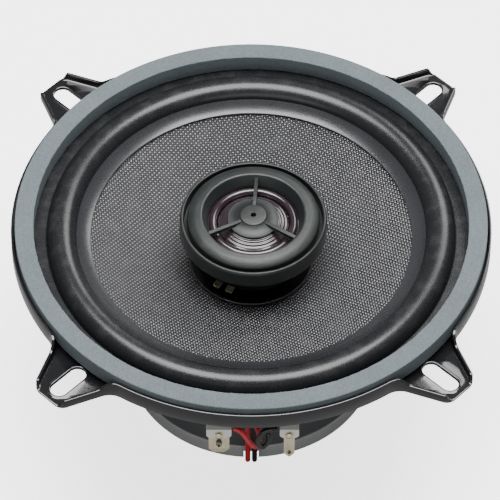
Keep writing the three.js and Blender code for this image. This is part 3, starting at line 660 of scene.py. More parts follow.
def rim_outline():
    """Plan outline of the flange with its ears, as even points in millimetres."""
    s = sizes()
    radius = s.rim_radius / MM
    tip, half, root = s.ear_tip_radius / MM, s.ear_tip_half_width / MM, s.ear_root_half_width / MM
    root_fillet, tip_fillet = 3.0, 2.2
    along = math.sqrt(radius ** 2 - root ** 2)
    foot = np.array([along, root])
    side = np.array([tip - along, half - root])
    side /= np.linalg.norm(side)
    start_angle = math.atan2(root, along) + root_fillet / radius
    local = [
        radius * np.array([math.cos(start_angle), math.sin(start_angle)]), foot, foot + side * root_fillet,
        np.array([tip, half]) - side * tip_fillet, np.array([tip, half]), np.array([tip, half - tip_fillet]),
    ]
    points = []
    angles = ear_angles()
    for ear, angle in enumerate(angles):
        turn = np.array([[math.cos(angle), math.sin(angle)], [-math.sin(angle), math.cos(angle)]])
        near = [(p * [1, -1]) @ turn for p in local]
        far = [p @ turn for p in local]
        first = (angles[ear - 1] - (2 * math.pi if ear == 0 else 0)) + start_angle
        for a in np.linspace(first, angle - start_angle, 160, endpoint=False):
            points.append(radius * np.array([math.cos(a), math.sin(a)]))
        points += bezier(near[0], near[1], near[2], 12)
        points += [near[2] + (near[3] - near[2]) * t for t in np.linspace(0, 1, 20, endpoint=False)]
        points += bezier(near[3], near[4], near[5], 12)
        points += [near[5] + (far[5] - near[5]) * t for t in np.linspace(0, 1, 10, endpoint=False)]
        points += bezier(far[5], far[4], far[3], 12)
        points += [far[3] + (far[2] - far[3]) * t for t in np.linspace(0, 1, 20, endpoint=False)]
        points += bezier(far[2], far[1], far[0], 12)
    return np.array(points)


def smoothstep(value, low, high):
    t = np.clip((value - low) / (high - low), 0, 1)
    return t * t * (3 - 2 * t)


def wall_heights(points):
    """Height of the upturned edge at each outline point: lip, lower ear sides, and none at the tips."""
    s = sizes()
    lip, ear = s.lip_height / MM, s.ear_wall_height / MM
    rim, tip = s.rim_radius / MM, s.ear_tip_radius / MM
    along = np.max([points @ [math.cos(a), math.sin(a)] for a in ear_angles()], axis=0)
    height = lip + (ear - lip) * smoothstep(along, rim - 0.9, rim + 2.6)
    return height * (1 - smoothstep(along, tip - 1.3, tip - 0.15))


def basket_mesh():
    s = sizes()
    top = LIP_TOP - s.lip_height / MM
    bottom = top - 1
    wall = s.rim_wall / MM
    outline = rim_outline()
    direction = np.roll(outline, -1, 0) - np.roll(outline, 1, 0)
    direction /= np.linalg.norm(direction, axis=1)[:, None]
    outwards = np.stack([direction[:, 1], -direction[:, 0]], 1)
    height = wall_heights(outline)
    foot = np.minimum(height / 0.7, 1)
    edge = 1.3
    section = [
        (edge, top + 0 * height),
        (wall + 0.3, top + 0.02 * foot),
        (wall + 0.08, top + 0.12 * foot),
        (wall, top + 0.34 * foot),
        (wall, top + np.maximum(height - 0.26, 0.34 * foot)),
        (wall - 0.1, top + np.maximum(height - 0.08, 0.34 * foot)),
        (wall / 2, top + np.maximum(height, 0)),
        (0.1, top + height - 0.08),
        (0, top + height - 0.28),
        (0, bottom + 0.75 + 0 * height),
        (0.06, bottom + 0.45 + 0 * height),
        (0.24, bottom + 0.18 + 0 * height),
        (0.52, bottom + 0.03 + 0 * height),
        (0.85, bottom + 0 * height),
        (edge, bottom + 0 * height),
    ]
    made = bmesh.new()
    rings = []
    for inset, levels in section:
        plan = outline - outwards * inset
        rings.append([(x, y, z) for (x, y), z in zip(plan, levels)])
    bands(made, rings)
    inner = [tuple(p) for p in outline - outwards * edge]

    slots = {"top": [], "bottom": []}
    half = (s.slot_length - s.slot_width) / 2 / MM
    radius = s.slot_width / 2 / MM
    for angle in ear_angles():
        turn = np.array([[math.cos(angle), math.sin(angle)], [-math.sin(angle), math.cos(angle)]])

        def loop(extra):
            ends = [(half, -90), (-half, 90)]
            flat = []
            for x, first in ends:
                for a in np.radians(np.linspace(first, first + 180, 21)):
                    flat.append((x + (radius + extra) * math.cos(a), (radius + extra) * math.sin(a)))
            return (np.array(flat) + [s.slot_radius / MM, 0]) @ turn

        hem = [(0.95, 0), (0.7, 0.1), (0.45, 0.18), (0.2, 0.19), (0.05, 0.1), (0, -0.1), (0, -0.85),
            (0.12, -1)]
        bands(made, [[(x, y, top + lift) for x, y in loop(extra)] for extra, lift in hem])
        slots["top"].append([tuple(p) for p in loop(hem[0][0])])
        slots["bottom"].append([tuple(p) for p in loop(hem[-1][0])])

    skirt, sheet = 59.2, 1.0
    inside = skirt - sheet
    ledge, ledge_out, ledge_in = SEAT + 8.3, 38.0, 30.5
    skirt_low = top - 9.6

    def circle(r):
        return [(r * math.cos(a), r * math.sin(a)) for a in np.linspace(0, 2 * math.pi, FINE, endpoint=False)]

    fill(made, [inner, circle(inside + 1.1), *slots["top"]], top)
    fill(made, [inner, circle(skirt + 0.9), *slots["bottom"]], bottom)
    body = rounded([
        (inside + 1.1, top), (inside, top - 0.05, 0.9), (inside, skirt_low + 0.3, 1.6), (ledge_out, ledge,
            1.2),
        (ledge_in - 0.6, ledge, 1.4), (ledge_in - sheet, SEAT + sheet, 1.4), (15, SEAT + sheet, 0.3), (15,
            SEAT, 0.3),
        (ledge_in, SEAT, 1.6), (ledge_in + 0.6, ledge - sheet, 1.6), (ledge_out + 0.3, ledge - sheet, 1.4),
        (skirt - 0.4, skirt_low - 0.9, 1.6), (skirt, skirt_low + 0.4, 1.4), (skirt, bottom + 0.05, 0.6),
        (skirt + 0.9, bottom),
    ])
    revolve(made, body, closed=False)
    return made, ledge, top


def sector(inner, outer, middle, half, low, high):
    """Ring sector as a cutter."""
    first, last = middle - half, middle + half
    points = [(outer * math.cos(a), outer * math.sin(a)) for a in np.linspace(first, last, 17)]
    points += [(inner * math.cos(a), inner * math.sin(a)) for a in np.linspace(last, first, 17)]
    return object_from(slab([points], low, high), "window_cutter")


def box_cutter(x0, x1, y0, y1, low, high):
    return object_from(slab([[(x0, y0), (x1, y0), (x1, y1), (x0, y1)]], low, high), "box_cutter")


def make_basket():
    mesh_data, ledge, top = basket_mesh()
    made = object_from(mesh_data, "pressed_basket")
    cutters = [
        sector(42, 61.2, (i + 0.5) * math.pi / 2, math.radians(19), ledge - 6,
            top - 6.6) for i in range(EAR_COUNT)
    ]
    for name in ("insulator_positive", "insulator_negative"):
        low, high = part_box(name)
        cutters.append(box_cutter(
            low.x / MM - 0.3, high.x / MM + 0.3, -62.2, high.y / MM + 1, low.z / MM - 0.3, high.z / MM + 0.3,
        ))
    cut(made, merge("cutters", cutters))
    finish_piece(made, "frame", "black_paint", paint(), "basket")


# ------------------------------------------------------------------ gasket
def make_gasket():
    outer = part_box("gasket")[1].x / MM
    inner = outer - sizes().gasket_width / MM
    random = np.random.default_rng(7)
    coarse = random.normal(0, 1, 180)
    fine = random.normal(0, 1, 720)

    def ragged(radius, height, angles):
        if radius > inner + 0.6:
            return np.full(len(angles), radius)
        share = angles / (2 * math.pi)
        slow = np.interp(share * 180, np.arange(181), np.append(coarse, coarse[0]))
        quick = np.interp(share * 720, np.arange(721), np.append(fine, fine[0]))
        return radius + 0.035 * slow + 0.03 * quick

    profile = rounded([
        (inner, GASKET_BOTTOM, 0.1), (outer, GASKET_BOTTOM, 0.1), (outer, GASKET_TOP, 0.35), (inner,
            GASKET_TOP, 0.25),
    ])
    made = turned("fibre_gasket", profile, 720, wobble=ragged)
    material = surface(
        "Gasket fibre", colours(
            ).gasket, 0.86, grains=2300.0, tone=0.3, swing=0.05, relief=0.00009, specular=0.3,
    )
    finish_piece(made, "frame", "gasket", material, "gasket")


# ------------------------------------------------------------------ motor
def make_motor():
    rear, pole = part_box("yoke")[1].y / MM, 12.2
    bore, nut_space = 6.1, 9.5
    profile = rounded([
        (bore, NUT_TOP + 0.3), (bore, POLE_TOP, 0.3), (pole, POLE_TOP, 0.6), (pole, 5, 0.3), (rear, 5, 0.3),
        (rear, REAR_BOTTOM, 0.3), (nut_space, REAR_BOTTOM, 0.2), (nut_space, NUT_TOP + 0.3),
    ])
    made = turned("pole_and_rear_plate", profile)
    cut(made, box_cutter(-2.1, 2.1, -rear - 2, -8.2, -1, 3))
    finish_piece(made, "frame", "zinc_steel", steel(), "yoke")
    profile = rounded([
        (16, MAGNET_BOTTOM, 0.6), (35, MAGNET_BOTTOM, 0.8), (35, MAGNET_TOP, 0.8), (16, MAGNET_TOP, 0.6),
    ])
    finish_piece(turned("ring_magnet", profile), "frame", "ferrite", ferrite(), "magnet")
    profile = rounded([
        (14.3, TOP_PLATE_BOTTOM, 0.2), (32.5, TOP_PLATE_BOTTOM, 0.4), (32.5, TOP_PLATE_TOP, 0.4),
        (14.3, TOP_PLATE_TOP, 0.2),
    ])
    finish_piece(turned("motor_top_plate", profile), "frame", "zinc_steel", steel(), "top_plate")


# ------------------------------------------------------------------ cone, surround and spider
def cone_cloth():
    made, w, shader = new_material("Woven cone")
    c, s = colours(), sizes()
    # The bright yarn colour carries a painted highlight on the yarn's crowns.
    weave = use_group(
        w, weave_group(), Pitch=s.weave_pitch, Turn=s.weave_turn, Bright_yarn=opaque(c.yarn_bright_and_crown_highlight),
        Dark_yarn=opaque(c.yarn_dark), Gap=opaque(c.yarn_gap),
    )
    settled = use_group(w, dust_group(), Colour=weave["Colour"], Roughness=weave["Roughness"], Amount=0.06)
    w.put(shader["Base Color"], settled["Colour"])
    w.put(shader["Roughness"], settled["Roughness"])
    shader["Specular IOR Level"].default_value = 0.8
    bump(w, shader, weave["Height"], 0.0002, 1.0)
    return made


def make_cone():
    edge, collar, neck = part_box("cone")[1].x / MM, 17.4, 13.35
    collar_top = CONE_TOP - (edge - collar) * 0.335
    neck_top = collar_top - 2.8
    profile = rounded([
        (edge, CONE_TOP, 0.2), (collar, collar_top, 0.6), (neck, neck_top, 0.2), (neck, neck_top - 0.7, 0.2),
        (collar, collar_top - 0.7, 0.6), (edge, CONE_TOP - 0.7, 0.2),
    ])
    finish_piece(turned("woven_cone", profile), "cone_assembly", "woven_cone", cone_cloth(), "cone")
    lift = 0.3
    profile = rounded([
        (neck, neck_top + lift), (collar, collar_top + lift, 0.1), (collar - 0.3, collar_top + lift + 0.6,
            0.3),
        (neck, neck_top + lift + 0.6, 0.2),
    ])
    made = turned("neck_ring_bead", profile, MEDIUM * 2)
    material = surface("Neck adhesive", (0.016, 0.0155, 0.016), 0.35, grains=1200.0, relief=0.0002, coat=0.5)
    finish_piece(made, "cone_assembly", "black_plastic", material, "neck_ring")


def make_surround():
    s = sizes()
    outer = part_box("surround")[1].x / MM
    flat = span("surround")[1] - s.roll_radius / MM + 0.3
    centre, roll, thin = s.roll_centre / MM, s.roll_radius / MM, 0.6
    hub = flat - 0.3
    band_in, band_low = s.band_inner / MM, flat - thin
    band_high = band_low + 1.3
    first = math.degrees(math.asin(0.3 / roll))
    last = 180 - math.degrees(math.asin((band_high - hub) / roll))
    under = roll - thin
    top = [(outer, flat)] + [(centre + roll + 1.0, flat)] + arc(centre, hub, roll, first, last, 48)
    top += [(band_in + 0.25, band_low + 0.08), (band_in, band_low - 0.06)]
    low_first = 180 - math.degrees(math.asin((band_high - thin - hub) / under))
    bottom = [(band_in, band_low - thin)] + arc(centre, hub, under, low_first, 0, 40)
    bottom += [(centre + under + 0.9, flat - thin), (outer, flat - thin)]
    made = turned("rolled_surround", top + bottom, smooth=60)
    rubber = surface("Surround rubber", colours().rubber, 0.27, grains=4200.0, tone=0.12, swing=0.14,
                     relief=0.000022, dust=0.05)
    band = surface("Glue band cloth", colours().band, 0.3, grains=3600.0, tone=0.3, swing=0.2,
                   relief=0.00003, coat=0.5, coat_roughness=0.2)
    made.data.materials.append(rubber)
    made.data.materials.append(band)
    edge = (centre - roll + 0.15) * MM
    for face in made.data.polygons:
        if math.hypot(face.center.x, face.center.y) < edge:
            face.material_index = 1
    finish_bending(made, "surround_rubber", CONE_BODIES, centre + roll, centre - roll, rubber, "surround")


def make_spider():
    collar, ledge_in, ledge_out = 15.0, 30.5, 37.0
    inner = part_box("voice_coil_winding")[0].x / -MM
    wave, count, thin = 0.9, 4, 0.4
    landing = SEAT + 8.6
    middle = landing + 1.3
    radii = np.linspace(collar, ledge_in, 97)
    phase = (radii - collar) / (ledge_in - collar) * count * 2 * math.pi
    upper = [(inner - 0.6, middle), (collar - 0.6, middle)]
    fade = smoothstep(radii, collar, collar + 1.5)
    settle = smoothstep(radii, ledge_in - 1.9, ledge_in)
    for r, p, f, g in zip(radii, phase, fade, settle):
        upper.append((r, (middle + wave * math.sin(p) * f) * (1 - g) + landing * g))
    upper += [(ledge_in + 0.6, landing), (ledge_out, landing)]
    lower = [(r, z + thin) for r, z in reversed(upper)]
    made = turned("corrugated_spider", upper + lower, smooth=60)
    material = surface("Spider cloth", (0.42, 0.2, 0.05), 0.8, grains=2600.0, tone=0.3, relief=0.00012)
    finish_bending(made, "spider_cloth", CONE_BODIES, ledge_in, collar, material, "spider")


def wound(name, inner, outer, low, high, wire, sides, centre=(0, 0)):
    """Winding whose outside shows each turn of its wire."""
    turns = max(int((high - low) / wire), 3)
    steps = turns * 6
    outside = []
    for i in range(steps + 1):
        z = low + (high - low) * i / steps
        outside.append((outer - wire * 0.28 * (1 - abs(math.sin(math.pi * i / 6))), z))
    return turned(name, [(inner, low)] + outside + [(inner, high)], sides, centre, smooth=70)


def make_voice_coil():
    inner, wall = 12.6, 0.35
    profile = [(inner, FORMER_BOTTOM), (inner + wall, FORMER_BOTTOM), (inner + wall, FORMER_TOP), (inner,
        FORMER_TOP)]
    made = turned("coil_former_tube", profile)
    finish_piece(made, "cone_assembly", "coil_former", former_film(), "voice_coil_former")
    made = wound("coil_winding_turns", inner + wall + 0.3, inner + wall + 0.9, WINDING_BOTTOM,
        WINDING_TOP, 0.3, FINE)
    finish_piece(made, "cone_assembly", "copper", copper(), "voice_coil_winding")


# ------------------------------------------------------------------ tweeter
def tweeter_turned(name, profile, sides=MEDIUM * 2, closed=True, smooth=35):
    return turned(name, profile, sides, (TWEETER_X, 0), closed, smooth)


def make_tweeter_body():
    ring, lip, cavity = 20.3, 1.1, 12.9
    bottom, floor = RING_TOP - 6, RING_TOP - 3.1
    floor_top = POT_BOTTOM - 0.3
    floor_low = floor_top - 1.5
    neck, socket = 9.5, 6.5
    profile = rounded([
        (ring - 0.6, bottom, 0.4), (ring, bottom + 1, 0.5), (ring, RING_TOP - 0.7, 0.6), (ring - 0.45,
            RING_TOP, 0.4),
        (ring - lip + 0.15, RING_TOP - 0.05, 0.25), (ring - lip, RING_TOP - 0.3, 0.15), (ring - lip,
            floor, 0.2),
        (cavity, floor, 0.1), (cavity, floor_top), (4.2, floor_top), (4.2, floor_low), (socket, floor_low),
        (socket, HOUSING_BOTTOM), (neck, HOUSING_BOTTOM, 0.3), (neck, floor_low - 2.2, 1.2),
        (cavity + 1.4, floor_top, 0.8), (cavity + 2.4, bottom - 1.4, 1.0), (cavity + 4, bottom, 0.6),
    ])
    made = tweeter_turned("tweeter_housing_shell", profile)
    finish_piece(made, "frame", "black_plastic", black_plastic(), "tweeter_housing")

    flange = POLE_TOP + 0.3
    shoulder = SPIGOT_TOP - 2.2
    profile = rounded([
        (3.2, POST_BOTTOM, 0.2), (5.2, POST_BOTTOM, 0.4), (5.2, flange), (10.6, flange, 0.3), (10.6,
            flange + 1.8, 0.5),
        (neck, flange + 3, 0.5), (neck, shoulder, 0.4), (6.2, shoulder, 0.2), (6.2, SPIGOT_TOP, 0.3),
        (3.2, SPIGOT_TOP, 0.2),
    ])
    made = tweeter_turned("tweeter_post_tube", profile)
    finish_piece(made, "frame", "black_plastic", black_plastic(), "tweeter_post")

    hexagon = [(8.2 * math.cos(a) + TWEETER_X, 8.2 * math.sin(a)) for a in np.radians(np.arange(0, 360, 60))]
    hole = [(5.5 * math.cos(a) + TWEETER_X, 5.5 * math.sin(a)) for a in np.radians(np.arange(0, 360, 7.5))]
    made = soften(object_from(slab([hexagon, hole], NUT_BOTTOM, NUT_TOP), "hexagon_nut"), 0.3)
    finish_piece(made, "frame", "black_plastic", black_plastic(), "post_nut")

    for side in ("positive", "negative"):
        low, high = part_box(f"tweeter_tag_{side}")
        angle = math.radians({"positive": -126, "negative": -113}[side])
        reach, long, half, thick = 17.6, 2.0, 1.1, 0.5
        tag = slab([rounded([
            (reach - long, -half, 0.1), (reach, -half, 0.5), (reach, half, 0.5), (reach - long, half, 0.1),
        ])], low.z / MM, low.z / MM + thick)
        for vert in tag.verts:
            x, y = vert.co.x, vert.co.y
            vert.co.x = TWEETER_X + x * math.cos(angle) - y * math.sin(angle)
            vert.co.y = x * math.sin(angle) + y * math.cos(angle)
        made = soften(object_from(tag, f"solder_tag_{side}"), 0.1)
        finish_piece(made, "frame", "brass", brass(), f"tweeter_tag_{side}")

    low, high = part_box("filter_capacitor")
    centre = ((low.x + high.x) / 2 / MM, (low.y + high.y) / 2 / MM)
    radius = (high.x - low.x) / 2 / MM
    profile = rounded([
        (0, CAPACITOR_BOTTOM), (radius, CAPACITOR_BOTTOM, 0.5), (radius, CAPACITOR_TOP, 0.4),
        (radius - 0.6, CAPACITOR_TOP, 0.1), (radius - 0.7, CAPACITOR_TOP - 0.2), (0, CAPACITOR_TOP - 0.2),
    ])
    made = turned("capacitor_can", profile, MEDIUM, centre)
    material = surface("Capacitor sleeve", (0.015, 0.04, 0.12), 0.3, coat=0.4)
    finish_piece(made, "frame", "capacitor_sleeve", material, "filter_capacitor")


def make_tweeter_face():
    s = sizes()
    outer, opening, throat = 18.2, s.opening_radius / MM, 12.6
    bottom = FACE_BOTTOM
    ring = rounded([
        (outer, bottom, 0.2), (outer, FACE_TOP - 1.4, 0.6), (outer - 0.9, FACE_TOP - 0.75, 0.6),
        (opening + 2.2, FACE_TOP - 0.22, 0.8), (opening + 0.5, FACE_TOP, 0.35), (opening, FACE_TOP - 0.15,
            0.25),
        (throat, FACE_TOP - 3, 0.5), (throat, bottom + 0.6, 0.2), (throat + 1.5,
            bottom + 0.6), (throat + 1.5, bottom),
    ])
    parts = [tweeter_turned("face_ring", ring)]
    hub, skirt, hole = 3.5, 7.0, 0.7
    top = FACE_TOP - 0.4
    steps = np.linspace(0, 1, 15)
    flare = [(hub + 0.15 + (skirt - hub - 0.15) * t, top - 0.25 - 1.25 * (1 - (1 - t) ** 2.1)) for t in steps]
    under = [(skirt, top - 1.75), (hub + 0.9, top - 1.0), (hole, top - 0.8)]
    profile = [(hole, top - 0.12), (hole + 0.12, top), (hub - 0.2, top), (hub + 0.05,
        top - 0.08)] + flare + under
    parts.append(tweeter_turned("face_hub", profile, MEDIUM, smooth=50))
    blade_top = FACE_TOP - 0.8
    inner, far = hub - 0.8, opening - 0.2
    half = s.blade_thickness / 2 / MM
    side = [(inner, blade_top), (inner, DOME_TOP + 0.4), (skirt, blade_top - 1.4), (far, blade_top - 1.4),
        (far, blade_top)]
    for i in range(3):
        angle = math.radians(86.5 + 120 * i)
        blade = slab([side], -half, half)
        for vert in blade.verts:
            x, height, y = vert.co.x, vert.co.y, vert.co.z
            vert.co = Vector((
                TWEETER_X + x * math.cos(angle) - y * math.sin(angle),
                x * math.sin(angle) + y * math.cos(angle), height,
            ))
        parts.append(soften(object_from(blade, "face_blade"), 0.16))
    made = merge("tweeter_face_plate", parts)
    material = surface(
        "Sanded plastic", colours().face, 0.38, grains=3400.0, tone=0.3, swing=0.2, relief=0.00008, dust=0.04,
    )
    finish_piece(made, "frame", "sanded_plastic", material, "tweeter_face")


def make_tweeter_dome():
    rim = (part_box("tweeter_dome")[1].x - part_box("tweeter_dome")[0].x) / 2 / MM
    base, thin = DOME_BASE + 0.25, 0.25
    rise = DOME_TOP - base
    radius = (rim ** 2 + rise ** 2) / (2 * rise)
    edge = math.degrees(math.asin(min(rim / radius, 1)))
    centre = DOME_TOP - radius
    ridge_pitch, ridge_height, ridges_from = 0.9, 0.05, 5.4
    top = arc(0, centre, radius, 90 - edge, 90, 120)
    top = [
        (r, z + ridge_height * math.sin(2 * math.pi * r / ridge_pitch) if ridges_from < r < rim - 0.3 else z)
        for r, z in top
    ]
    low = arc(0, centre, radius - thin, 90, 90 - edge, 40)
    made = tweeter_turned("dome_cap", top + low, closed=True, smooth=60)
    finish_piece(made, "tweeter_diaphragm", "dome_film", dome_film(), "tweeter_dome")

    low_corner, high_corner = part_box("tweeter_suspension")
    outer = (high_corner.x - low_corner.x) / 2 / MM
    base = low_corner.z / MM
    inner, roll = rim + 0.3, 1.1
    middle = inner + 0.1 + roll
    profile = [(outer, base + thin)] + arc(middle, base + thin, roll, 10, 170, 28) + [(inner,
        base + thin), (inner, base)]
    profile += arc(middle, base, roll - thin, 170, 10, 24) + [(outer, base)]
    made = tweeter_turned("dome_roll", profile, smooth=60)
    finish_bending(made, "dome_film", DOME_BODIES, outer - 0.4, inner + 0.4, dome_film(),
        "tweeter_suspension")


def make_tweeter_motor():
    pot, wall, floor = 12.6, 1.7, 1.5
    profile = rounded([
        (0, POT_BOTTOM), (pot, POT_BOTTOM, 0.5), (pot, POT_TOP, 0.3), (pot - wall, POT_TOP, 0.2),
        (pot - wall, POT_BOTTOM + floor), (0, POT_BOTTOM + floor),
    ])
    finish_piece(tweeter_turned("pot_cup", profile), "frame", "zinc_steel", steel(), "tweeter_yoke")
    for name, node, radius, slot, material in (
        ("neodymium_disc", "tweeter_magnet", 8.9, "nickel", nickel()),
        ("pole_disc", "tweeter_pole_plate", 9.2, "zinc_steel", steel()),
    ):
        low, high = span(node)
        profile = rounded([(0, low), (radius, low, 0.3), (radius, high, 0.3), (0, high)])
        finish_piece(tweeter_turned(name, profile, MEDIUM), "frame", slot, material, node)
    low, high = span("tweeter_coil_former")
    profile = [(9.5, low), (9.7, low), (9.7, high), (9.5, high)]
    made = tweeter_turned("dome_former_tube", profile)
    finish_piece(made, "tweeter_diaphragm", "coil_former", former_film(), "tweeter_coil_former")
    low, high = span("tweeter_coil_winding")
    made = wound("dome_winding_turns", 10.0, 10.3, low, high, 0.16, MEDIUM * 2, (TWEETER_X, 0))
    finish_piece(made, "tweeter_diaphragm", "copper", copper(), "tweeter_coil_winding")


# ------------------------------------------------------------------ terminals and leads
TABS = {
    "positive": {"length": 9, "corner": 1.5, "hole": (0.85, 1.9), "drop": 4.9},
    "negative": {"length": 11, "corner": 1.4, "hole": (0.6, 0.9), "drop": 9.0},
}


def make_terminals():
    clear = surface("Insulator plastic", (0.9, 0.89, 0.83), 0.22, coat=0.5, grains=1800.0, tone=0.04)
    for side, tab in TABS.items():
        low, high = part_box(f"terminal_{side}")
        x = (low.x + high.x) / 2 / MM
        half, top = (high.x - low.x) / 2 / MM, high.z / MM
        drop = top - tab["length"]
        c = tab["corner"]
        outline = rounded([
            (-half, top), (-half, drop + c, 0.5), (-half + c * 0.9, drop, 0.5), (half - c * 0.9, drop, 0.5),
            (half, drop + c, 0.5), (half, top),
        ])
        middle = top - tab["drop"]
        hole = [
            (tab["hole"][0] * math.cos(a), middle + tab["hole"][1] * math.sin(a))
            for a in np.linspace(0, 2 * math.pi, 40, endpoint=False)
        ]
        plate = upright(slab([outline, hole], 0, (high.y - low.y) / MM), x, high.y / MM)
        made = soften(object_from(plate, f"tab_{side}"), 0.12)
        finish_piece(made, "frame", "brass", brass(), f"terminal_{side}")

        low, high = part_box(f"insulator_{side}")
        x, half = (low.x + high.x) / 2 / MM, (high.x - low.x) / 2 / MM
        bottom, top = low.z / MM, high.z / MM
        outline = rounded([
            (-half, bottom + 0.8, 0.4), (-half + 0.8, bottom, 0.4), (half - 0.8, bottom, 0.4), (half,
                bottom + 0.8, 0.4),
            (half, top, 0.3), (-half, top, 0.3),
        ])
        block = upright(slab([outline], 0, (high.y - low.y) / MM), x, high.y / MM)
        made = soften(object_from(block, f"insulator_block_{side}"), 0.2)
        finish_piece(made, "frame", "clear_plastic", clear, f"insulator_{side}")

        low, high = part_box(f"rivet_{side}")
        x, z = (low.x + high.x) / 2, (low.z + high.z) / 2
        head = bmesh.new()
        profile = [(0, 0), (1.1, 0), (1.1, 0.2), (0.95, 0.5), (0.6, 0.68), (0, 0.7)]
        revolve(head, profile, 48)
        for vert in head.verts:
            vert.co = Vector((vert.co.x + x / MM, high.y / MM - vert.co.z, vert.co.y + z / MM))
        finish_piece(object_from(head, f"rivet_head_{side}", 50), "frame", "brass", brass(), f"rivet_{side}")


RED_LEAD = [
    (-4.7, -59.8, 46.7), (-3, -60.3, 46), (-1.6, -60.2, 43.5), (-0.5, -59.9, 40.6), (0.7, -59.3, 37.9),
    (1.6, -58, 36.2), (2.2, -56.3, 37.3), (1.8, -54.6, 39.2), (0.3, -52.4, 39.3), (-0.9, -49.6, 36),
    (-1.1, -46, 30.6), (-1, -42.2, 22.5), (-0.95, -39.2, 14.5), (-0.95, -37.8, 8), (-0.95, -37.6, 3.6),
    (-0.95, -37, 1.8), (-0.95, -35.6, 1.1), (-0.95, -26, 1.1), (-0.95, -15, 1.1), (-0.95, -5.4, 1.1),
    (-0.6, -2.9, 1.7), (-0.4, -1.4, 3.7), (-0.35, -1.2, 8), (-0.35, -1.2, 22), (-0.35, -1.2, 34),
    (-0.35, -0.4, 37.6), (-0.35, 0.8, 39.9),
]
BLACK_LEAD = [
    (7.1, -59.8, 46.5), (5, -60.3, 46.7), (3, -60.7, 45.7), (1.9, -60.9, 43.1), (2.1, -60.7, 40.5),
    (3, -60.2, 38.8), (4.2, -59.8, 39.8), (4.8, -59.4, 41.6), (4.6, -58.8, 42.9), (3.7, -56.8, 42.3),
    (2.7, -54, 40.7), (1.9, -50.4, 36.8), (1.2, -46.2, 30.8), (1, -42.2, 22.5), (0.95, -39.2, 14.5),
    (0.95, -37.8, 8), (0.95, -37.6, 3.6), (0.95, -37, 1.8), (0.95, -35.6, 1.1), (0.95, -26, 1.1),
    (0.95, -15, 1.1), (0.95, -5.4, 1.1), (1.3, -2.9, 1.7), (1.5, -1.4, 3.7), (1.55, -1.2, 8),
    (1.55, -1.2, 22), (1.55, -1.4, 36), (1.9, -1.7, 41), (1.9, -1.7, 46.4),
]


def make_leads():
    c = colours()
    thick = sizes().lead_diameter / MM
    for name, points, node, slot, rgb in (
        ("red_wire", RED_LEAD, "lead_red", "red_insulation", c.red_lead),
        ("black_wire", BLACK_LEAD, "lead_black", "black_insulation", c.black_lead),
    ):
        made = tube(name, curve_through(points, 420), thick)
        material = surface(f"{name} insulation", rgb, 0.3, grains=900.0, swing=0.1, coat=0.35)
        finish_piece(made, "frame", slot, material, node)


def make_tinsel_leads():
    for side in ("positive", "negative"):
        low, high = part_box(f"tinsel_lead_{side}")
        lean = math.copysign(1, low.x + high.x)
        x = {"positive": -8.7, "negative": 10.3}[side]
        points = [
            (x, -48.7, 45), (x, -46.4, 44), (x - lean * 0.8, -42, 42.9), (x - lean * 1.8, -37.5, 44),
            (x - lean * 2.6, -34, 46.6), (x - lean * 3, -32, 48.6),
        ]
        line = curve_through(points, 160)
        strands = [tube("strand", line, 0.46, 10, (0.25, 9, math.radians(120 * i))) for i in range(3)]
        made = merge(f"tinsel_braid_{side}", strands)
        made.data.materials.append(copper())
        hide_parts(f"tinsel_lead_{side}")
        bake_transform(made)


# ------------------------------------------------------------------ stage
ELEVATION = math.radians(50.449)
CAMERA_DISTANCE = 1.2688
CAMERA_LENS = 332.6  # millimetres
SENSOR_WIDTH = 36  # millimetres
VIEW_DROP, VIEW_LEFT = 0.00813, 0.000335  # view's middle from the gasket's centre
FLOOR_GLOW = 2.6  # floor as the camera sees it
SKY_STRENGTH = 0.28


def area_light(name, place, target, width, height, power, tint=(1, 1, 1)):
    light = bpy.data.lights.new(name, "AREA")
    light.shape = "RECTANGLE"
    light.size, light.size_y = width, height
    light.energy = power
    light.color = tint
    made = bpy.data.objects.new(name, light)
    bpy.context.scene.collection.objects.link(made)
    made.location = place
    made.rotation_mode = "QUATERNION"
    made.rotation_quaternion = (Vector(target) - Vector(place)).to_track_quat("-Z", "Y")
    return made


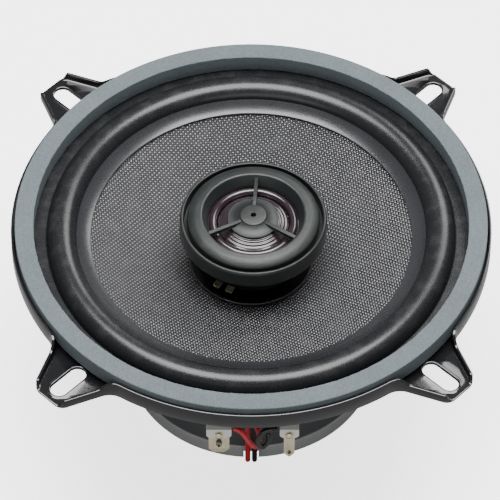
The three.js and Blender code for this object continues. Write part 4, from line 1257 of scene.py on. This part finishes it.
def make_stage():
    scene = bpy.context.scene
    floor = bmesh.new()
    bmesh.ops.create_grid(floor, x_segments=1, y_segments=1, size=3000)
    made = object_from(floor, "studio_floor")
    material, w, shader = new_material("Studio floor")
    seen = w.add("ShaderNodeLightPath").outputs["Is Camera Ray"]
    w.put(shader["Base Color"], w.mix(seen, (0.22, 0.22, 0.22, 1), opaque(colours().floor)))
    shader["Roughness"].default_value = 0.6
    w.put(shader["Emission Color"], w.mix(seen, (0, 0, 0, 1), opaque(colours().floor)))
    shader["Emission Strength"].default_value = FLOOR_GLOW
    made.data.materials.append(material)

    world = bpy.data.worlds.new("Studio")
    world.use_nodes = True
    world.node_tree.nodes["Background"].inputs["Color"].default_value = (0.9, 0.92, 0.95, 1)
    world.node_tree.nodes["Background"].inputs["Strength"].default_value = SKY_STRENGTH
    scene.world = world
    centre = (0, 0, 0.05)
    area_light("Overhead softbox", (0, 0.06, 1.0), centre, 0.9, 0.6, 22)
    area_light("Back window", (0.5, 0.8, 0.8), centre, 0.6, 0.5, 6)
    area_light("Front fill", (-0.2, -1.2, 0.5), centre, 1.6, 0.6, 4)

    back = Vector((0, -math.cos(ELEVATION), math.sin(ELEVATION)))
    up = Vector((0, math.sin(ELEVATION), math.cos(ELEVATION)))
    origin = Vector((0, 0, GASKET_TOP * MM))
    target = origin - up * VIEW_DROP - Vector((VIEW_LEFT, 0, 0))
    camera = bpy.data.objects.new("Camera", bpy.data.cameras.new("Camera"))
    scene.collection.objects.link(camera)
    camera.location = origin + back * CAMERA_DISTANCE
    camera.rotation_mode = "QUATERNION"
    camera.rotation_quaternion = (target - camera.location).to_track_quat("-Z", "Y")
    camera.data.sensor_width = SENSOR_WIDTH
    camera.data.lens = CAMERA_LENS
    camera.data.clip_start, camera.data.clip_end = 0.05, 20
    scene.camera = camera


# ------------------------------------------------------------------ operators and panel
class PieceOperator:
    """Shared by the operators that build one piece or group of pieces"""

    bl_options = {"REGISTER", "UNDO"}

    def execute(self, context):
        self.build()
        return {"FINISHED"}


class SPEAKER_OT_basket(PieceOperator, bpy.types.Operator):
    """Build the pressed basket with its rolled lip, ears and slots"""

    bl_idname = "speaker.basket"
    bl_label = "Basket"
    build = staticmethod(make_basket)


class SPEAKER_OT_gasket(PieceOperator, bpy.types.Operator):
    """Build the die-cut gasket ring"""

    bl_idname = "speaker.gasket"
    bl_label = "Gasket"
    build = staticmethod(make_gasket)


class SPEAKER_OT_motor(PieceOperator, bpy.types.Operator):
    """Build the rear plate with its pole, the magnet and the top plate"""

    bl_idname = "speaker.motor"
    bl_label = "Motor"
    build = staticmethod(make_motor)


class SPEAKER_OT_cone(PieceOperator, bpy.types.Operator):
    """Build the woven cone and the bead at its neck"""

    bl_idname = "speaker.cone"
    bl_label = "Cone"
    build = staticmethod(make_cone)


class SPEAKER_OT_surround(PieceOperator, bpy.types.Operator):
    """Build the rubber surround with its glue band"""

    bl_idname = "speaker.surround"
    bl_label = "Surround"
    build = staticmethod(make_surround)


class SPEAKER_OT_spider(PieceOperator, bpy.types.Operator):
    """Build the corrugated spider"""

    bl_idname = "speaker.spider"
    bl_label = "Spider"
    build = staticmethod(make_spider)


class SPEAKER_OT_voice_coil(PieceOperator, bpy.types.Operator):
    """Build the voice coil's former and winding"""

    bl_idname = "speaker.voice_coil"
    bl_label = "Voice Coil"
    build = staticmethod(make_voice_coil)


class SPEAKER_OT_tweeter_body(PieceOperator, bpy.types.Operator):
    """Build the tweeter's housing, post, nut, solder tags and capacitor"""

    bl_idname = "speaker.tweeter_body"
    bl_label = "Tweeter Body"
    build = staticmethod(make_tweeter_body)


class SPEAKER_OT_tweeter_face(PieceOperator, bpy.types.Operator):
    """Build the tweeter's face with its hub and blades"""

    bl_idname = "speaker.tweeter_face"
    bl_label = "Tweeter Face"
    build = staticmethod(make_tweeter_face)


class SPEAKER_OT_tweeter_dome(PieceOperator, bpy.types.Operator):
    """Build the tweeter's dome and its half roll"""

    bl_idname = "speaker.tweeter_dome"
    bl_label = "Tweeter Dome"
    build = staticmethod(make_tweeter_dome)


class SPEAKER_OT_tweeter_motor(PieceOperator, bpy.types.Operator):
    """Build the tweeter's cup, magnet, pole disc and coil"""

    bl_idname = "speaker.tweeter_motor"
    bl_label = "Tweeter Motor"
    build = staticmethod(make_tweeter_motor)


class SPEAKER_OT_terminals(PieceOperator, bpy.types.Operator):
    """Build the terminal tabs, their insulators and rivets"""

    bl_idname = "speaker.terminals"
    bl_label = "Terminals"
    build = staticmethod(make_terminals)


class SPEAKER_OT_leads(PieceOperator, bpy.types.Operator):
    """Build the red and the black lead"""

    bl_idname = "speaker.leads"
    bl_label = "Leads"
    build = staticmethod(make_leads)


class SPEAKER_OT_tinsel_leads(PieceOperator, bpy.types.Operator):
    """Build the two braided tinsel leads"""

    bl_idname = "speaker.tinsel_leads"
    bl_label = "Tinsel Leads"
    build = staticmethod(make_tinsel_leads)


class SPEAKER_OT_stage(PieceOperator, bpy.types.Operator):
    """Set up the floor, the lights and the camera"""

    bl_idname = "speaker.stage"
    bl_label = "Stage"
    build = staticmethod(make_stage)


OPERATORS = (
    SPEAKER_OT_basket, SPEAKER_OT_gasket, SPEAKER_OT_motor, SPEAKER_OT_cone, SPEAKER_OT_surround, SPEAKER_OT_spider,
    SPEAKER_OT_voice_coil, SPEAKER_OT_tweeter_body, SPEAKER_OT_tweeter_face, SPEAKER_OT_tweeter_dome,
    SPEAKER_OT_tweeter_motor, SPEAKER_OT_terminals, SPEAKER_OT_leads, SPEAKER_OT_tinsel_leads, SPEAKER_OT_stage,
)


class SPEAKER_PT_panel(bpy.types.Panel):
    """Lists the speaker's sizes, colours and pieces"""

    bl_idname = "SPEAKER_PT_panel"
    bl_label = "Coaxial Speaker"
    bl_space_type = "VIEW_3D"
    bl_region_type = "UI"
    bl_category = "Speaker"

    def draw(self, context):
        for group in (context.scene.speaker_sizes, context.scene.speaker_colours):
            box = self.layout.box()
            for name in group.bl_rna.properties.keys():
                if name not in {"rna_type", "name"}:
                    box.prop(group, name)
        for operator in OPERATORS:
            self.layout.operator(operator.bl_idname)


CLASSES = (SpeakerSizes, SpeakerColours, *OPERATORS, SPEAKER_PT_panel)


def register():
    for cls in CLASSES:
        bpy.utils.register_class(cls)
    bpy.types.Scene.speaker_sizes = PointerProperty(type=SpeakerSizes)
    bpy.types.Scene.speaker_colours = PointerProperty(type=SpeakerColours)


def unregister():
    del bpy.types.Scene.speaker_colours
    del bpy.types.Scene.speaker_sizes
    for cls in reversed(CLASSES):
        bpy.utils.unregister_class(cls)


def main():
    register()
    for operator in OPERATORS:
        group, name = operator.bl_idname.split(".")
        getattr(getattr(bpy.ops, group), name)()


if __name__ == "__main__":
    main()
